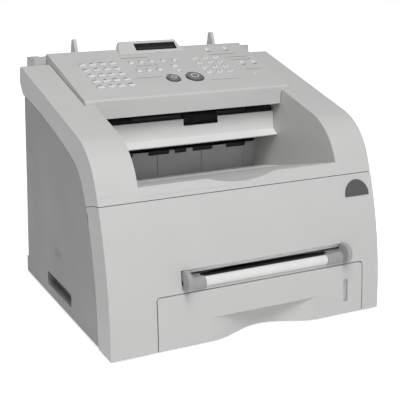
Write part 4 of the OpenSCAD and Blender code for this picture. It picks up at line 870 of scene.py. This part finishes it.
# Light that only camera, glossy and transmission rays see, so that a pale surface shows white
def cameraLift(tree, shader, strength):
    rays = addNode(tree, "ShaderNodeLightPath")
    seen = addNode(tree, "ShaderNodeMath", {"operation": "MAXIMUM"}, {
        0: rays.outputs["Is Camera Ray"], 1: rays.outputs["Is Glossy Ray"]})
    seen = addNode(tree, "ShaderNodeMath", {"operation": "MAXIMUM"}, {
        0: seen.outputs[0], 1: rays.outputs["Is Transmission Ray"]})
    lift = addNode(tree, "ShaderNodeMath", {"operation": "MULTIPLY"}, {
        0: seen.outputs[0], 1: strength})
    glow = addNode(tree, "ShaderNodeEmission", inputs={"Strength": lift.outputs[0]})
    return addNode(tree, "ShaderNodeAddShader", inputs={0: shader, 1: glow.outputs[0]})


def paperFloor():
    mesh = bpy.data.meshes.new("floor")
    half = studio["floorSize"] / 2
    corners = [(-half, -half, 0), (half, -half, 0), (half, half, 0), (-half, half, 0)]
    mesh.from_pydata(corners, [], [(0, 1, 2, 3)])
    material, tree = newMaterial("paperFloor")
    matt = addNode(tree, "ShaderNodeBsdfDiffuse", inputs={"Color": toLinear(studio["floorColor"])})
    lifted = cameraLift(tree, matt.outputs[0], studio["floorLift"])
    addNode(tree, "ShaderNodeOutputMaterial", inputs={"Surface": lifted.outputs[0]})
    mesh.materials.append(material)
    return linkMesh("floor", mesh)


paperFloor()


# The world is white to camera and transmission rays and lights the object at its own strength
def studioWorld():
    world = bpy.data.worlds.new("studio")
    bpy.context.scene.world = world
    world.use_nodes = True
    tree = world.node_tree
    tree.nodes.clear()
    rays = addNode(tree, "ShaderNodeLightPath")
    seen = addNode(tree, "ShaderNodeMath", {"operation": "MAXIMUM"}, {
        0: rays.outputs["Is Camera Ray"], 1: rays.outputs["Is Transmission Ray"]})
    level = addNode(tree, "ShaderNodeMapRange", inputs={
        "Value": seen.outputs[0], "To Min": studio["worldStrength"], "To Max": 1.0})
    sky = addNode(tree, "ShaderNodeBackground", inputs={
        "Color": toLinear(studio["worldColor"]), "Strength": level.outputs[0]})
    addNode(tree, "ShaderNodeOutputWorld", inputs={"Surface": sky.outputs[0]})


def addLamp(name, setup):
    lamp = bpy.data.lights.new(name, "AREA")
    lamp.energy = setup["power"]
    lamp.shape = "SQUARE"
    lamp.size = setup["size"]
    holder = bpy.data.objects.new(name, lamp)
    bpy.context.scene.collection.objects.link(holder)
    aim = Vector(studio["lampAim"]) - Vector(setup["place"])
    holder.rotation_euler = aim.to_track_quat("-Z", "Y").to_euler()
    holder.location = setup["place"]


studioWorld()
for name, setup in lamps.items():
    addLamp(name, setup)

view = {"place": (-0.6078, -1.1536, 0.5564), "target": (0.0, 0.0005, 0.153), "roll": -1.50,
        "focalPixels": 976.94, "middle": (192.0, 183.2), "frame": 400, "sensor": 36.0}


def addCamera():
    camera = bpy.data.cameras.new("camera")
    camera.sensor_width = view["sensor"]
    camera.lens = view["focalPixels"] * view["sensor"] / view["frame"]
    camera.shift_x = (view["frame"] / 2 - view["middle"][0]) / view["frame"]
    camera.shift_y = (view["middle"][1] - view["frame"] / 2) / view["frame"]
    holder = bpy.data.objects.new("camera", camera)
    bpy.context.scene.collection.objects.link(holder)
    back = (Vector(view["place"]) - Vector(view["target"])).normalized()
    right = Vector((0, 0, 1)).cross(back).normalized()
    upward = back.cross(right)
    turn = Matrix.Rotation(math.radians(-view["roll"]), 3, back)
    right, upward = turn @ right, turn @ upward
    rows = [(right[i], upward[i], back[i], view["place"][i]) for i in range(3)]
    holder.matrix_world = Matrix(rows + [(0, 0, 0, 1)])
    bpy.context.scene.camera = holder


addCamera()
bpy.context.scene.view_settings.view_transform = "Standard"
print("stage, lamps and camera made")
